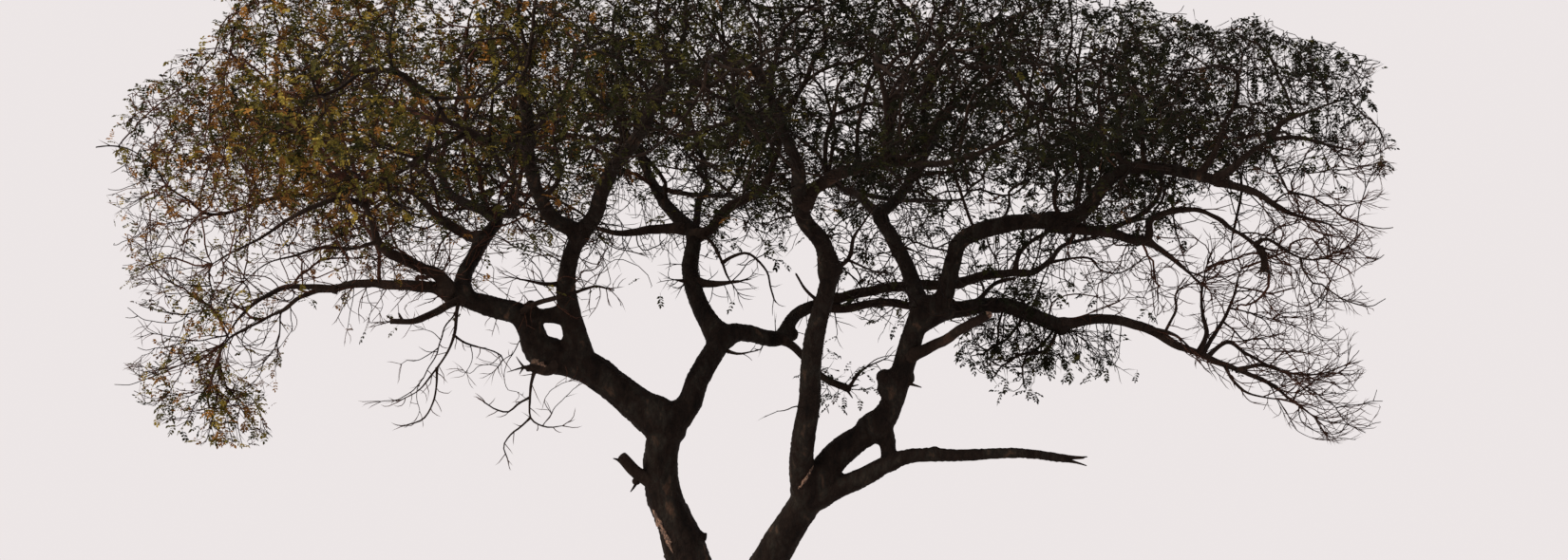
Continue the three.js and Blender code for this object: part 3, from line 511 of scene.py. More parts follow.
BARK = bark_material("bark_rough", [lin('#100c0a'), lin('#1f1713'), lin('#25221e'), lin('#4a382d')], 6.0, 24.0, 0.8, 0.022)
LIMB_BARK = bark_material("bark_limbs", [lin('#16110e'), lin('#261c17'), lin('#2d2520'), lin('#4c392e')], 2.6, 36.0, 0.5, 0.008)
TWIG_BARK = bark_material("bark_twigs", [lin('#2b1b16'), lin('#41291f'), lin('#50352a'), lin('#664838')], 3.2, 60.0, 0.3, 0.003)

# a darker copy of the twig bark, painted shade for the twigs inside the crown; the open skirts keep the lighter twig
# bark above
SHADED_INNER_TWIG_BARK = bark_material("bark_inner_twigs_painted_shade", [lin('#15100d'), lin('#211813'), lin('#291f19'), lin('#35291f')], 3.2, 60.0, 0.3, 0.003)


def torn_wood():
    m, nt, p = new_material("torn_wood")
    co = nt.nodes.new("ShaderNodeTexCoord").outputs["Object"]
    grain = noise_node(nt, co, 55.0, 6.0, 0.6, 1.5)
    broad = noise_node(nt, co, 34.0, 4.0, 0.65)
    a = ramp(nt, grain, [(0.3, lin('#4f3326')), (0.55, lin('#80624f')), (0.75, lin('#bda793'))])
    b = ramp(nt, broad, [(0.46, (0.10, 0.08, 0.07, 1)), (0.56, (1, 1, 1, 1))])
    nt.links.new(mix(nt, 0.92, a, b, 'MULTIPLY'), p.inputs["Base Color"])
    p.inputs["Roughness"].default_value = 0.85
    bump = nt.nodes.new("ShaderNodeBump")
    bump.inputs["Strength"].default_value = 0.5
    bump.inputs["Distance"].default_value = 0.006
    nt.links.new(grain, bump.inputs["Height"])
    nt.links.new(bump.outputs[0], p.inputs["Normal"])
    return m


TORN = torn_wood()

# leaf colours: five greens from dark to pale, painted shade to painted light (dark for shaded leaves, pale for leaves
# lit through from behind), then three browns of autumn tint, their lightness painted the same way; one for each spray
LEAF_TONES_SHADED_TO_LIT = ['#14150a', '#25260e', '#403d18', '#6b6026', '#958239', '#3a281b', '#724f24', '#966a31']
LEAVES = []
for k, tone in enumerate(LEAF_TONES_SHADED_TO_LIT):
    m, nt, p = new_material(f"leaf_{k}")
    p.inputs["Base Color"].default_value = lin(tone)
    p.inputs["Roughness"].default_value = 0.70
    p.inputs["Specular IOR Level"].default_value = 0.08
    LEAVES.append(m)


# ------------------------------------------------------------------ trunk, stems and boughs
rng = np.random.default_rng(SEED)


def lumpy(seed, scale, amount):
    """A skin that swells and shrinks slowly along a limb."""
    return lambda v, out: amount * rough(v * scale, seed, 2)


def trunk_skin(soup):
    """The bole from just under the ground to the fork, fluted and spread at the foot."""
    sides = 60
    height = axes["trunk"]["length"]
    z = np.concatenate([[-0.12], np.linspace(0, 1, 56) ** 1.15 * (height + FORK_RISE)])
    th = np.arange(sides) * 2 * math.pi / sides
    zz, tt = np.meshgrid(z, th, indexing="ij")
    zc = np.maximum(zz, 0)
    fade = np.exp(-zc / FLARE_HEIGHT)
    ridge = 1 + BUTTRESS_DEPTH * (0.25 + 0.75 * fade) * np.cos(BUTTRESSES * tt + 0.7) * 0.6 + 0.04 * np.sin(2 * tt + 1.1)
    shoulder = np.where(zc > height, 1 - 0.46 * (np.maximum(zc - height, 0) / FORK_RISE) ** 1.6, 1)
    r = (0.553 + (0.453 - 0.553) * np.minimum(1, zc / height) + TRUNK_FLARE * fade) * ridge * shoulder
    rise = np.clip((zc - 0.15 * height) / (0.85 * height + 0.3 * FORK_RISE), 0, 1)
    deep = 1 - FORK_SLIMMING * rise * rise * (3 - 2 * rise)
    v = np.stack([np.cos(tt) * r, np.sin(tt) * r * deep, zz], -1)
    v += np.stack([np.cos(tt), np.sin(tt), 0 * tt], -1) * (0.020 * rough(v * np.array([5.5, 5.5, 1.3]), 5, 3))[..., None]
    n = len(z)
    i = np.arange(n - 1)[:, None] * sides
    j = np.arange(sides)[None]
    jn = (j + 1) % sides
    quads = np.stack([i + j, i + jn, i + sides + jn, i + sides + j], -1).reshape(-1, 4)
    verts = np.vstack([v.reshape(-1, 3), [[0, 0, z[-1]]], [[0, 0, z[0]]]])
    last = (n - 1) * sides
    tris = [[last + a, last + (a + 1) % sides, n * sides] for a in range(sides)]
    tris += [[(a + 1) % sides, a, n * sides + 1] for a in range(sides)]
    soup.add(verts, tris, quads)


def limb_line(name, step):
    p = smooth_line(axes[name]["points"], step)
    t = np.linspace(0, 1, len(p))
    return p, girth(name, t), t


cad_names = [l[0] for l in LIMBS]
thick_names = [n for n in cad_names if axes[n]["radii"][0] >= THICK] + ["dead_arm_link", "right_lump", "left_brace"]
slim_cad = [n for n in cad_names if n not in thick_names]

core = Soup()
trunk_skin(core)
samples = []                                     # axis points of the thick limbs, for the relief
for k, name in enumerate(thick_names):
    p, r, t = limb_line(name, 0.07)
    parent = axes[name]["parent"]
    s = t * axes[name]["length"]
    if name != "trunk":
        if parent:
            q = smooth_line(axes[parent]["points"], 0.05)
            f = int(min(0.999, axes[name]["share"]) * (len(q) - 1))
            rp = float(girth(parent, f / (len(q) - 1)))
            r = r * (1 + 0.42 * np.exp(-np.maximum(s - rp * 0.9, 0) / (0.9 * r[0] + 0.02)) * (name not in ("left_stem", "right_stem")))
        sides = 20 if r[0] > 0.15 else 14
        # a slow swelling and a lumpy skin along the limb
        swell = 1 + 0.07 * rough(np.stack([s * 2.1, s * 0 + 3.3 * k, s * 0], 1), 31, 2)
        r = r * swell + 0.003
        tube(core, p, r, sides, push=lumpy(40 + k, 3.5, 0.035 * float(r.mean()) + 0.002))
    for a, b, c in zip(p, r, s):
        samples.append((k, *a, b, c))

# knots, burls and swollen collars: where they show, their depth, and half sizes m
KNOTS = [
    (742, 564, -.10, .044, .045, .055), (690, 421, -.17, .050, .050, .045), (667, 428, -.10, .060, .055, .050),
    (937, 489, -.44, .115, .100, .095), (559, 323, -.46, .072, .070, .085),
    (605, 352, -.40, .060, .055, .070), (757, 357, .24, .140, .130, .120), (613, 386, -.28, .205, .190, .185),
    (833, 352, .80, .095, .090, .090), (871, 287, -1.26, .112, .105, .120), (732, 246, .80, .100, .095, .110),
    (995, 328, -.48, .125, .115, .105), (846, 214, -1.84, .095, .090, .100), (1120, 240, -.98, .105, .100, .090),
    (1118, 346, .18, .100, .095, .085), (520, 322, -.46, .100, .095, .090), (548, 333, -.40, .140, .125, .120),
    (846, 498, -.30, .150, .140, .150), (705, 456, -.15, .200, .190, .140), (606, 250, -.88, .100, .095, .100),
    (930, 232, .30, .085, .080, .085), (640, 384, -.25, .060, .055, .050), (1079, 331, .05, .100, .095, .080),
    (690, 478, -.16, .080, .080, .090), (711, 520, -.05, .060, .055, .100), (568, 386, -.50, .125, .105, .095), (932, 397, -.42, .105, .085, .100), (930, 409, -.40, .080, .070, .095), (959, 399, -.40, .058, .050, .062),
    (558, 388, -.62, .060, .060, .050), (672, 506, -.18, .050, .050, .045), (984, 472, -.50, .036, .036, .040),
]
for u, v, y, a, b, c in KNOTS:
    ball(core, place(u, v, y), (a, b, c))

raw = core.make("core_raw", [BARK])
mod = raw.modifiers.new("skin", 'REMESH')
mod.mode, mod.voxel_size, mod.use_smooth_shade = 'VOXEL', VOXEL, True
soft = raw.modifiers.new("soft", 'SMOOTH')
soft.factor, soft.iterations = 0.5, 4
dg = bpy.context.evaluated_depsgraph_get()
skin = bpy.data.meshes.new_from_object(raw.evaluated_get(dg))
bpy.data.objects.remove(raw)
bm = bmesh.new()
bm.from_mesh(skin)
cut = bmesh.ops.bisect_plane(bm, geom=bm.verts[:] + bm.edges[:] + bm.faces[:], plane_co=(0, 0, 0), plane_no=(0, 0, -1), clear_outer=True)
rim = [e for e in bm.edges if e.is_boundary and all(abs(v.co.z) < 1e-5 for v in e.verts)]
bmesh.ops.holes_fill(bm, edges=rim, sides=0)
bmesh.ops.triangulate(bm, faces=[f for f in bm.faces if len(f.verts) > 4])
bm.to_mesh(skin)
bm.free()
skin.update()

S = np.array(samples)
nv = len(skin.vertices)
co = np.zeros(nv * 3, np.float32)
no = np.zeros(nv * 3, np.float32)
skin.vertices.foreach_get("co", co)
skin.vertices.foreach_get("normal", no)
co, no = co.reshape(-1, 3).astype(float), no.reshape(-1, 3).astype(float)
relief = np.zeros(nv)
for a in range(0, nv, 4000):
    q = co[a:a + 4000]
    d = np.linalg.norm(q[:, None] - S[None, :, 1:4], axis=2) - S[None, :, 4]
    best = d.argmin(1)
    limb = S[best, 0].astype(int)
    away = q - S[best, 1:4]
    size = S[best, 4]
    along = S[best, 5]
    near = d[np.arange(len(q)), best]
    other = np.where(S[None, :, 0] == limb[:, None], 1e9, d).min(1)
    blend = np.clip((other - near) / 0.10, 0, 1) ** 0.7
    dom = away * 11.0
    dom[:, 2] += along * 2.6 + limb * 9.7
    dom[:, 0] += along * 0.9
    ridges = 1 - 2 * np.abs(rough(dom, 71, 2))                # long low ridges along the limb
    scales = rough(q * 16.0, 83, 2)
    amp = 0.0065 + 0.0150 * np.clip(size / 0.30, 0, 1)
    relief[a:a + 4000] = amp * (0.75 * (ridges - 0.35) * (0.35 + 0.65 * blend) + 0.45 * scales)
on_ground = co[:, 2] < 0.004
co = co + no * relief[:, None] * (~on_ground)[:, None]
co[:, 2] = np.where(on_ground, 0.0, np.maximum(co[:, 2], 0.0))
skin.vertices.foreach_set("co", co.astype(np.float32).ravel())
skin.polygons.foreach_set("use_smooth", np.ones(len(skin.polygons), bool))
skin.update()
skin.materials.clear()
skin.materials.append(BARK)
trunk_piece = bpy.data.objects.new("bark_of_trunk_and_boughs", skin)
bpy.context.scene.collection.objects.link(trunk_piece)

# ------------------------------------------------------------------ slimmer limbs, each a rough tube
slim = Soup()


def rough_push(seed, amount):
    return lambda v, out: amount * rough(v * 13.0, seed, 3) + amount * 0.6 * rough(v * 4.0, seed + 3, 2)


NO_TAPER = {"dead_arm", "stem_stub", "left_scar", "right_arch_stump", "left_stub", "middle_stub_low", "right_low_spur", "right_lump"}
for k, name in enumerate(slim_cad + [l[0] for l in SLIGHT if l[0] not in thick_names]):
    r0 = float(axes[name]["radii"][0])
    step = 0.045 if r0 > 0.03 else 0.06
    p, r, t = limb_line(name, step)
    s = t * axes[name]["length"]
    parent = axes[name]["parent"]
    rp = float(girth(parent, axes[name]["share"]))
    r = r * (1 + 0.55 * np.exp(-np.maximum(s - rp * 0.8, 0) / (1.1 * r0 + 0.01)))
    r = r * (1 + 0.10 * rough(np.stack([s * 4.0, s * 0 + 2.7 * k, s * 0], 1), 61, 2))
    wob = np.stack([rough(np.stack([s * 2.4, s * 0 + k, s * 0 + 7 * c], 1), 91 + c, 2) for c in range(3)], 1)
    p = p + wob * (0.5 * r0 + 0.006) * np.clip(s / 0.25, 0, 1)[:, None]
    if r[-1] > 0.011 and name not in NO_TAPER:
        r = r * np.interp(t, [0.45, 1.0], [1.0, 0.50])
    p = np.clip(p, LOW + 0.04, HIGH - 0.04)
    sides = 10 if r0 > 0.05 else 8 if r0 > 0.03 else 6
    tube(slim, p, r, sides, push=rough_push(120 + k, 0.075 * r0 + 0.0012), pointed=r[-1] < 0.02)
    axes[name]["line"] = p


def line_of(name):
    p = axes[name].get("line")
    return smooth_line(axes[name]["points"], 0.06) if p is None else p


# ragged ends where wood has snapped: limb, how many points, length m, radius m, spread
jag = np.random.default_rng(SEED + 11)
for name, many, long, thick, spread in [("stem_stub", 4, .10, .030, .35), ("dead_arm", 6, .20, .026, .045), ("left_scar", 3, .16, .014, .70),
                                        ("right_arch_stump", 5, .12, .020, 1.0), ("left_stub", 2, .07, .014, .6), ("middle_stub_low", 3, .12, .020, .5)]:
    p = line_of(name)
    t = p[-1] - p[-3]
    t /= np.linalg.norm(t)
    r = float(girth(name, 1))
    for k in range(many):
        side = jag.normal(0, 1, 3)
        side -= t * (side @ t)
        side /= np.linalg.norm(side)
        d = t + side * spread
        d /= np.linalg.norm(d)
        a = p[-1] - t * r * 0.8 + side * r * 0.45
        n = 5
        q = a + d * np.linspace(0, long * jag.uniform(.6, 1.15), n)[:, None] + side * (0.10 * long * np.linspace(0, 1, n) ** 2)[:, None]
        tube(slim, q, thick * np.linspace(1, .30, n), 6, push=rough_push(300 + k, 0.12 * thick), pointed=True)
tube(slim, np.array([place(670, 509, -.14), place(667, 514, -.20), place(664, 518, -.25)]), np.array([.020, .014, .006]), 6, pointed=True)
ball(slim, place(670, 507, -.17), (.050, .048, .045), 3)

# smaller twigs, each by the limb that bears it, its radii in mm and where it runs in the front view
TRACED = [
    ("r1", "right_high_rise", 13, 7, (1340, 146, 1330, 141, 1318, 141, 1305, 144, 1293, 145)),
    ("r2", "right_high_rise_c", 9, 5, (1400, 152, 1416, 164, 1428, 166, 1440, 165, 1450, 162, 1458, 157)),
    ("r3", "right_high_rise_c", 9, 5, (1396, 151, 1408, 162, 1416, 170, 1430, 175, 1445, 173, 1458, 169)),
    ("r4", "right_high_rise", 16, 12, (1322, 157, 1333, 158, 1340, 166, 1344, 178, 1350, 188, 1354, 197, 1357, 203)),
    ("r5", "r4", 17, 6, (1357, 203, 1370, 205, 1381, 208, 1392, 213, 1403, 221, 1412, 227, 1422, 232, 1432, 236, 1447, 239, 1456, 241, 1466, 240)),
    ("r6", "right_high_run", 14, 10, (1342, 214, 1350, 206, 1357, 203)),
    ("r7", "r5", 9, 5, (1409, 225, 1418, 218, 1430, 213, 1441, 211, 1449, 209, 1455, 204)),
    ("r8", "r5", 8, 5, (1381, 208, 1395, 206, 1408, 210, 1420, 212, 1433, 211)),
    ("r9", "r4", 9, 5, (1350, 182, 1362, 178, 1372, 177, 1378, 185, 1385, 196, 1392, 202, 1400, 206)),
    ("r10", "r4", 10, 5, (1348, 178, 1358, 174, 1370, 170, 1382, 166, 1394, 163, 1402, 160)),
    ("r11", "r10", 8, 5, (1392, 163, 1398, 173, 1404, 180, 1412, 183, 1423, 184, 1432, 181)),
    ("r12", "r9", 8, 5, (1376, 183, 1390, 181, 1402, 179, 1418, 180, 1432, 176, 1446, 174)),
    ("r13", "r11", 6, 4, (1428, 181, 1432, 188, 1438, 192, 1445, 191, 1450, 185, 1452, 182)),
    ("r14", "right_arch_twig", 9, 5, (1396, 271, 1405, 267, 1418, 260, 1424, 257, 1430, 250)),
    ("r15", "r14", 7, 5, (1416, 261, 1428, 264, 1438, 270, 1446, 273, 1452, 272, 1458, 268)),
    ("r16", "right_arch_twig", 8, 5, (1394, 271, 1408, 273, 1424, 273, 1438, 272)),
    ("r17", "right_arch_twig", 9, 6, (1397, 271, 1399, 262, 1399, 251, 1396, 243, 1386, 236, 1376, 231)),
    ("r18", "right_main_low", 12, 8, (1303, 249, 1312, 245, 1323, 245, 1333, 248, 1340, 244, 1344, 240, 1353, 239, 1364, 236)),
    ("r19", "r18", 9, 5, (1341, 243, 1341, 252, 1350, 260, 1363, 265, 1376, 271, 1386, 277, 1394, 283)),
    ("r20", "right_arch_twig", 15, 5, (1369, 271, 1372, 283, 1377, 292, 1382, 299, 1392, 300, 1398, 305, 1408, 312, 1420, 318, 1432, 322, 1443, 323, 1451, 320, 1458, 314)),
    ("r21", "r20", 8, 5, (1381, 299, 1380, 306, 1388, 313, 1398, 317, 1410, 318, 1420, 317)),
    ("r22", "r20", 6, 4, (1420, 318, 1426, 313, 1433, 306)),
    ("r23", "right_arch_stump", 10, 5, (1331, 272, 1340, 276, 1352, 278, 1361, 280, 1367, 288, 1370, 299, 1375, 309, 1378, 320, 1380, 332)),
    ("r24", "right_high_run", 10, 5, (1361, 224, 1372, 228, 1384, 231, 1396, 233, 1408, 234, 1420, 232)),
    ("r25", "right_high_run", 9, 5, (1372, 229, 1380, 240, 1392, 246, 1404, 249, 1418, 250)),
    ("r26", "right_high_run", 8, 5, (1330, 209, 1342, 218, 1350, 229, 1360, 231, 1372, 236, 1380, 240)),
    ("r27", "right_low_riser_b", 10, 6, (1299, 306, 1308, 307, 1320, 306, 1330, 309, 1337, 316)),
    ("r28", "right_low_riser_b", 13, 7, (1293, 326, 1305, 327, 1318, 331, 1330, 336, 1337, 345, 1341, 353)),
    ("r29", "r28", 9, 5, (1316, 331, 1330, 333, 1343, 336, 1352, 334, 1364, 335, 1376, 333)),
    ("r30", "r29", 8, 5, (1342, 336, 1350, 330, 1364, 329, 1378, 328, 1388, 325)),
    ("r31", "right_low_riser_b", 13, 6, (1289, 337, 1300, 349, 1309, 358, 1320, 357, 1330, 358, 1336, 366, 1342, 371, 1352, 370, 1363, 369, 1373, 371)),
    ("r32", "r29", 9, 5, (1342, 336, 1355, 341, 1368, 346, 1380, 352, 1392, 358, 1402, 357, 1411, 351)),
    ("r33", "right_low_outer", 13, 5, (1362, 422, 1366, 414, 1373, 411, 1380, 405, 1390, 398, 1400, 394, 1410, 392, 1418, 385, 1425, 377, 1431, 369)),
    ("r34", "r33", 7, 4, (1410, 392, 1420, 396, 1428, 392, 1434, 387)),
    ("r35", "r33", 9, 5, (1376, 408, 1386, 415, 1396, 423, 1405, 429, 1412, 438, 1418, 446, 1427, 450, 1438, 450, 1447, 447, 1454, 445)),
    ("r36", "r35", 8, 5, (1405, 429, 1420, 427, 1435, 426, 1446, 423, 1455, 423)),
    ("r37", "r36", 5, 4, (1445, 423, 1448, 417, 1450, 411)),
    ("r38", "right_low_outer", 8, 5, (1384, 440, 1397, 444, 1411, 446, 1422, 449, 1431, 453, 1438, 456)),
    ("r39", "right_low_outer", 8, 5, (1384, 440, 1390, 450, 1396, 456, 1408, 457, 1415, 452, 1421, 446)),
    ("r40", "r39", 7, 4, (1393, 453, 1400, 460, 1412, 462, 1428, 463)),
    ("r41", "right_low_outer", 9, 5, (1366, 428, 1368, 440, 1374, 449, 1383, 453, 1393, 455)),
    ("r42", "right_low_fan_c", 7, 4, (1345, 421, 1354, 434, 1361, 446, 1366, 454, 1376, 459, 1387, 464)),
    ("r43", "r33", 7, 4, (1379, 405, 1392, 402, 1405, 404, 1414, 404)),
    ("r44", "r33", 7, 4, (1394, 397, 1402, 392, 1408, 385, 1411, 376)),
    ("r45", "r33", 6, 4, (1417, 386, 1420, 376, 1419, 363)),
    ("r46", "r35", 7, 4, (1388, 416, 1401, 415, 1414, 414, 1422, 408, 1428, 401)),
    ("r47", "right_low_fan", 8, 5, (1337, 384, 1348, 388, 1360, 394, 1372, 392, 1380, 398, 1392, 396)),
    ("r48", "right_low_fan_b", 8, 5, (1356, 393, 1368, 399, 1380, 399, 1392, 401)),
    ("r49", "right_low_outer", 9, 5, (1310, 394, 1322, 398, 1336, 405, 1342, 415, 1348, 428, 1352, 437)),
    ("r50", "right_low_riser", 10, 6, (1264, 305, 1262, 297, 1254, 290, 1249, 280, 1245, 268)),
    ("r51", "right_low_riser_b", 9, 6, (1306, 290, 1300, 280, 1297, 268, 1296, 255)),
    ("r52", "right_main_low_run", 10, 6, (1250, 286, 1262, 290, 1278, 292, 1292, 291, 1304, 287, 1316, 284)),
    ("r53", "r31", 8, 5, (1300, 349, 1296, 360, 1304, 366, 1318, 370, 1330, 378, 1345, 379, 1358, 376)),
    ("r54", "right_low_fan", 8, 5, (1300, 366, 1312, 376, 1322, 386, 1336, 392, 1350, 399, 1364, 400)),
    ("l1", "left_back_run", 8, 5, (172, 190, 163, 190, 150, 191, 138, 195, 126, 199, 112, 199)),
    ("l2", "left_back_run", 8, 5, (176, 195, 162, 202, 150, 207, 139, 212, 129, 209, 122, 204, 117, 206)),
    ("l3", "l2", 7, 4, (155, 205, 146, 212, 139, 217, 132, 220, 124, 218)),
    ("l4", "left_back_run", 10, 5, (215, 226, 200, 231, 185, 234, 170, 236, 156, 238, 148, 246, 140, 251, 131, 254, 122, 258, 113, 257)),
    ("l5", "l4", 8, 4, (178, 235, 172, 243, 167, 252, 160, 263, 153, 271, 144, 277, 130, 280)),
    ("l6", "left_front_run", 9, 5, (224, 277, 210, 273, 198, 268, 188, 262, 178, 259, 168, 260, 160, 262, 148, 263)),
    ("l7", "l6", 7, 4, (190, 264, 178, 270, 168, 274, 159, 273, 160, 264)),
    ("l8", "left_front_run", 8, 5, (224, 277, 213, 281, 200, 282, 188, 285, 176, 286, 168, 284)),
    ("l9", "left_front_run", 13, 8, (224, 277, 220, 286, 220, 296, 223, 306, 222, 318)),
    ("l10", "l9", 9, 5, (221, 300, 208, 302, 196, 300, 182, 302, 172, 303, 165, 299)),
    ("l11", "l10", 7, 4, (205, 302, 195, 308, 185, 309, 173, 309)),
    ("l12", "l10", 7, 4, (196, 300, 188, 296, 180, 292)),
    ("l13", "left_front_run_b", 9, 5, (256, 297, 262, 304, 262, 312, 250, 311, 240, 316, 232, 316)),
    ("l14", "left_long_limb_high", 11, 6, (262, 324, 250, 324, 238, 323, 225, 326, 210, 328, 195, 331, 182, 331, 170, 328, 160, 325, 150, 322, 146, 320)),
    ("l15", "l14", 8, 5, (200, 330, 190, 338, 178, 340, 162, 339, 150, 336, 143, 331, 135, 324)),
    ("l16", "l15", 6, 4, (146, 333, 140, 335, 133, 334)),
    ("l17", "left_long_limb_high", 11, 5, (240, 352, 225, 356, 210, 359, 195, 357, 180, 355, 168, 352, 158, 352, 150, 355)),
    ("l18", "l17", 6, 4, (164, 352, 155, 349, 149, 342)),
    ("l19", "l17", 8, 5, (200, 358, 188, 362, 176, 366, 164, 367, 154, 369, 145, 366)),
    ("l20", "l19", 6, 4, (164, 367, 158, 372, 149, 375)),
    ("l21", "left_long_limb", 14, 5, (233, 364, 222, 367, 212, 371, 203, 377, 190, 384, 176, 391, 162, 396, 148, 401, 136, 405, 121, 405)),
    ("l22", "l21", 9, 4, (210, 372, 196, 374, 182, 382, 170, 390, 158, 396, 149, 398, 144, 386)),
    ("l23", "l21", 7, 4, (165, 395, 158, 392, 150, 385)),
    ("l24", "l21", 8, 5, (196, 381, 190, 395, 184, 404, 176, 415, 168, 419, 155, 418, 142, 412)),
    ("l25", "l24", 7, 4, (178, 412, 170, 421, 162, 427, 153, 424)),
    ("l26", "left_long_limb", 15, 13, (233, 362, 232, 370, 231, 382)),
    ("l27", "l26", 13, 5, (231, 382, 226, 392, 220, 404, 212, 416, 205, 428, 198, 440, 188, 441, 170, 442)),
    ("l28", "l26", 13, 6, (231, 382, 234, 394, 238, 406, 246, 418, 254, 430, 262, 442, 268, 452)),
    ("l29", "l26", 11, 6, (231, 382, 230, 396, 228, 410, 227, 424, 225, 440, 220, 456, 216, 466)),
    ("l30", "l28", 9, 5, (240, 409, 252, 413, 263, 418, 270, 428, 275, 440, 279, 451, 287, 460)),
    ("l31", "l29", 9, 5, (228, 412, 236, 424, 240, 438, 242, 452, 244, 464)),
    ("l32", "l28", 8, 5, (254, 430, 250, 444, 252, 456, 256, 468)),
    ("l33", "left_long_limb", 12, 5, (297, 329, 295, 338, 295, 350, 292, 363, 285, 373, 279, 382, 274, 393, 267, 402, 260, 410, 252, 418)),
    ("l34", "l33", 8, 4, (280, 379, 271, 386, 262, 388, 250, 383)),
    ("l35", "left_long_limb", 9, 4, (262, 345, 257, 353, 255, 362, 262, 372, 264, 383, 261, 393, 254, 401)),
    ("l36", "l35", 7, 4, (258, 366, 268, 363, 277, 361, 281, 350, 283, 340)),
    ("l37", "left_long_limb", 8, 4, (309, 322, 307, 334, 308, 346, 302, 354, 297, 362, 292, 370)),
    ("l38", "left_long_limb_high", 10, 7, (306, 304, 310, 311, 307, 316, 297, 316, 287, 313, 279, 312)),
    ("l39", "l26", 8, 4, (231, 382, 221, 380, 210, 378, 203, 376)),
    ("h1", "left_bough_knee", 12, 5, (484, 316, 477, 334, 467, 346, 464, 360, 459, 374, 449, 391, 437, 409, 420, 420, 401, 424)),
    ("h2", "h1", 7, 4, (462, 368, 449, 376, 438, 381, 428, 379, 421, 384)),
    ("h3", "h1", 6, 4, (464, 357, 455, 349, 444, 347)),
    ("h4", "h1", 6, 4, (446, 396, 439, 410, 440, 422, 443, 434)),
    ("h5", "left_knee_twigs_c", 6, 4, (528, 376, 517, 383, 504, 385, 494, 393, 486, 389)),
    ("h6", "left_knee_twigs_c", 6, 4, (496, 364, 497, 375, 495, 385, 490, 393)),
    ("h7", "left_bough_knee", 9, 4, (556, 352, 548, 358, 541, 372, 530, 380, 520, 391)),
    ("h8", "h7", 6, 4, (541, 371, 533, 383, 531, 398, 535, 410, 546, 414)),
    ("h9", "left_scar_hang", 6, 4, (572, 448, 584, 430, 598, 415, 607, 408)),
    ("h10", "h9", 5, 4, (580, 436, 573, 424, 578, 412, 590, 405, 600, 402)),
    ("h11", "left_long_limb", 6, 4, (372, 304, 371, 316, 369, 327, 367, 338, 365, 349)),
    ("h12", "left_long_limb", 6, 4, (386, 303, 388, 314, 391, 324, 389, 335)),
    ("h13", "left_long_limb", 5, 4, (405, 300, 401, 311, 403, 322, 399, 331)),
    ("m1", "right_front_bough", 12, 5, (847, 430, 838, 428, 828, 431, 818, 433)),
    ("m2", "middle_stub_low", 11, 5, (893, 410, 900, 396, 912, 386, 925, 378, 945, 374)),
]
trace_rnd = np.random.default_rng(SEED + 13)
for name, parent, r0, r1, uv in TRACED:
    uv = np.array(uv, float).reshape(-1, 2)
    pl = line_of(parent)
    pu, pv = shows(pl)
    start = pl[((pu - uv[0, 0]) ** 2 + (pv - uv[0, 1]) ** 2).argmin()]
    run = np.concatenate([[0], np.cumsum(np.linalg.norm(np.diff(uv, axis=0), axis=1))])
    long = run[-1] * 32.0 / FOCAL
    lean = trace_rnd.choice([-1, 1]) * trace_rnd.uniform(0.15, 0.45) * long
    drift = lean * (run / run[-1]) + 0.10 * long * np.sin(run / run[-1] * math.pi * trace_rnd.uniform(1, 2.4))
    pts = np.array([start] + [place(u, v, start[1] + dy) for (u, v), dy in zip(uv[1:], drift[1:])])
    line = smooth_line(pts, 0.05)
    n = len(line)
    wob = np.stack([rough(np.stack([np.arange(n) * 0.33, np.full(n, 3.1 * c), np.full(n, uv[0, 0])], 1), 131 + c, 2) for c in range(3)], 1)
    line = np.clip(line + wob * 0.014 * np.clip(np.arange(n) / 4, 0, 1)[:, None], LOW + 0.04, HIGH - 0.04)
    axes[name] = {"parent": parent, "points": pts, "radii": np.array([r0, r1]) / 1000, "length": float(np.linalg.norm(np.diff(line, axis=0), axis=1).sum()),
                  "share": 0.5, "line": line}
    share = np.linspace(0, 1, n)
    r = (0.82 if name[0] == "l" else 0.92) * (r0 + (r1 - r0) * share) / 1000 * (1 + 0.5 * np.exp(-share * 20))
    tube(slim, line, r, 5, pointed=True)
slim_piece = slim.make("bark_of_slim_limbs", [LIMB_BARK])

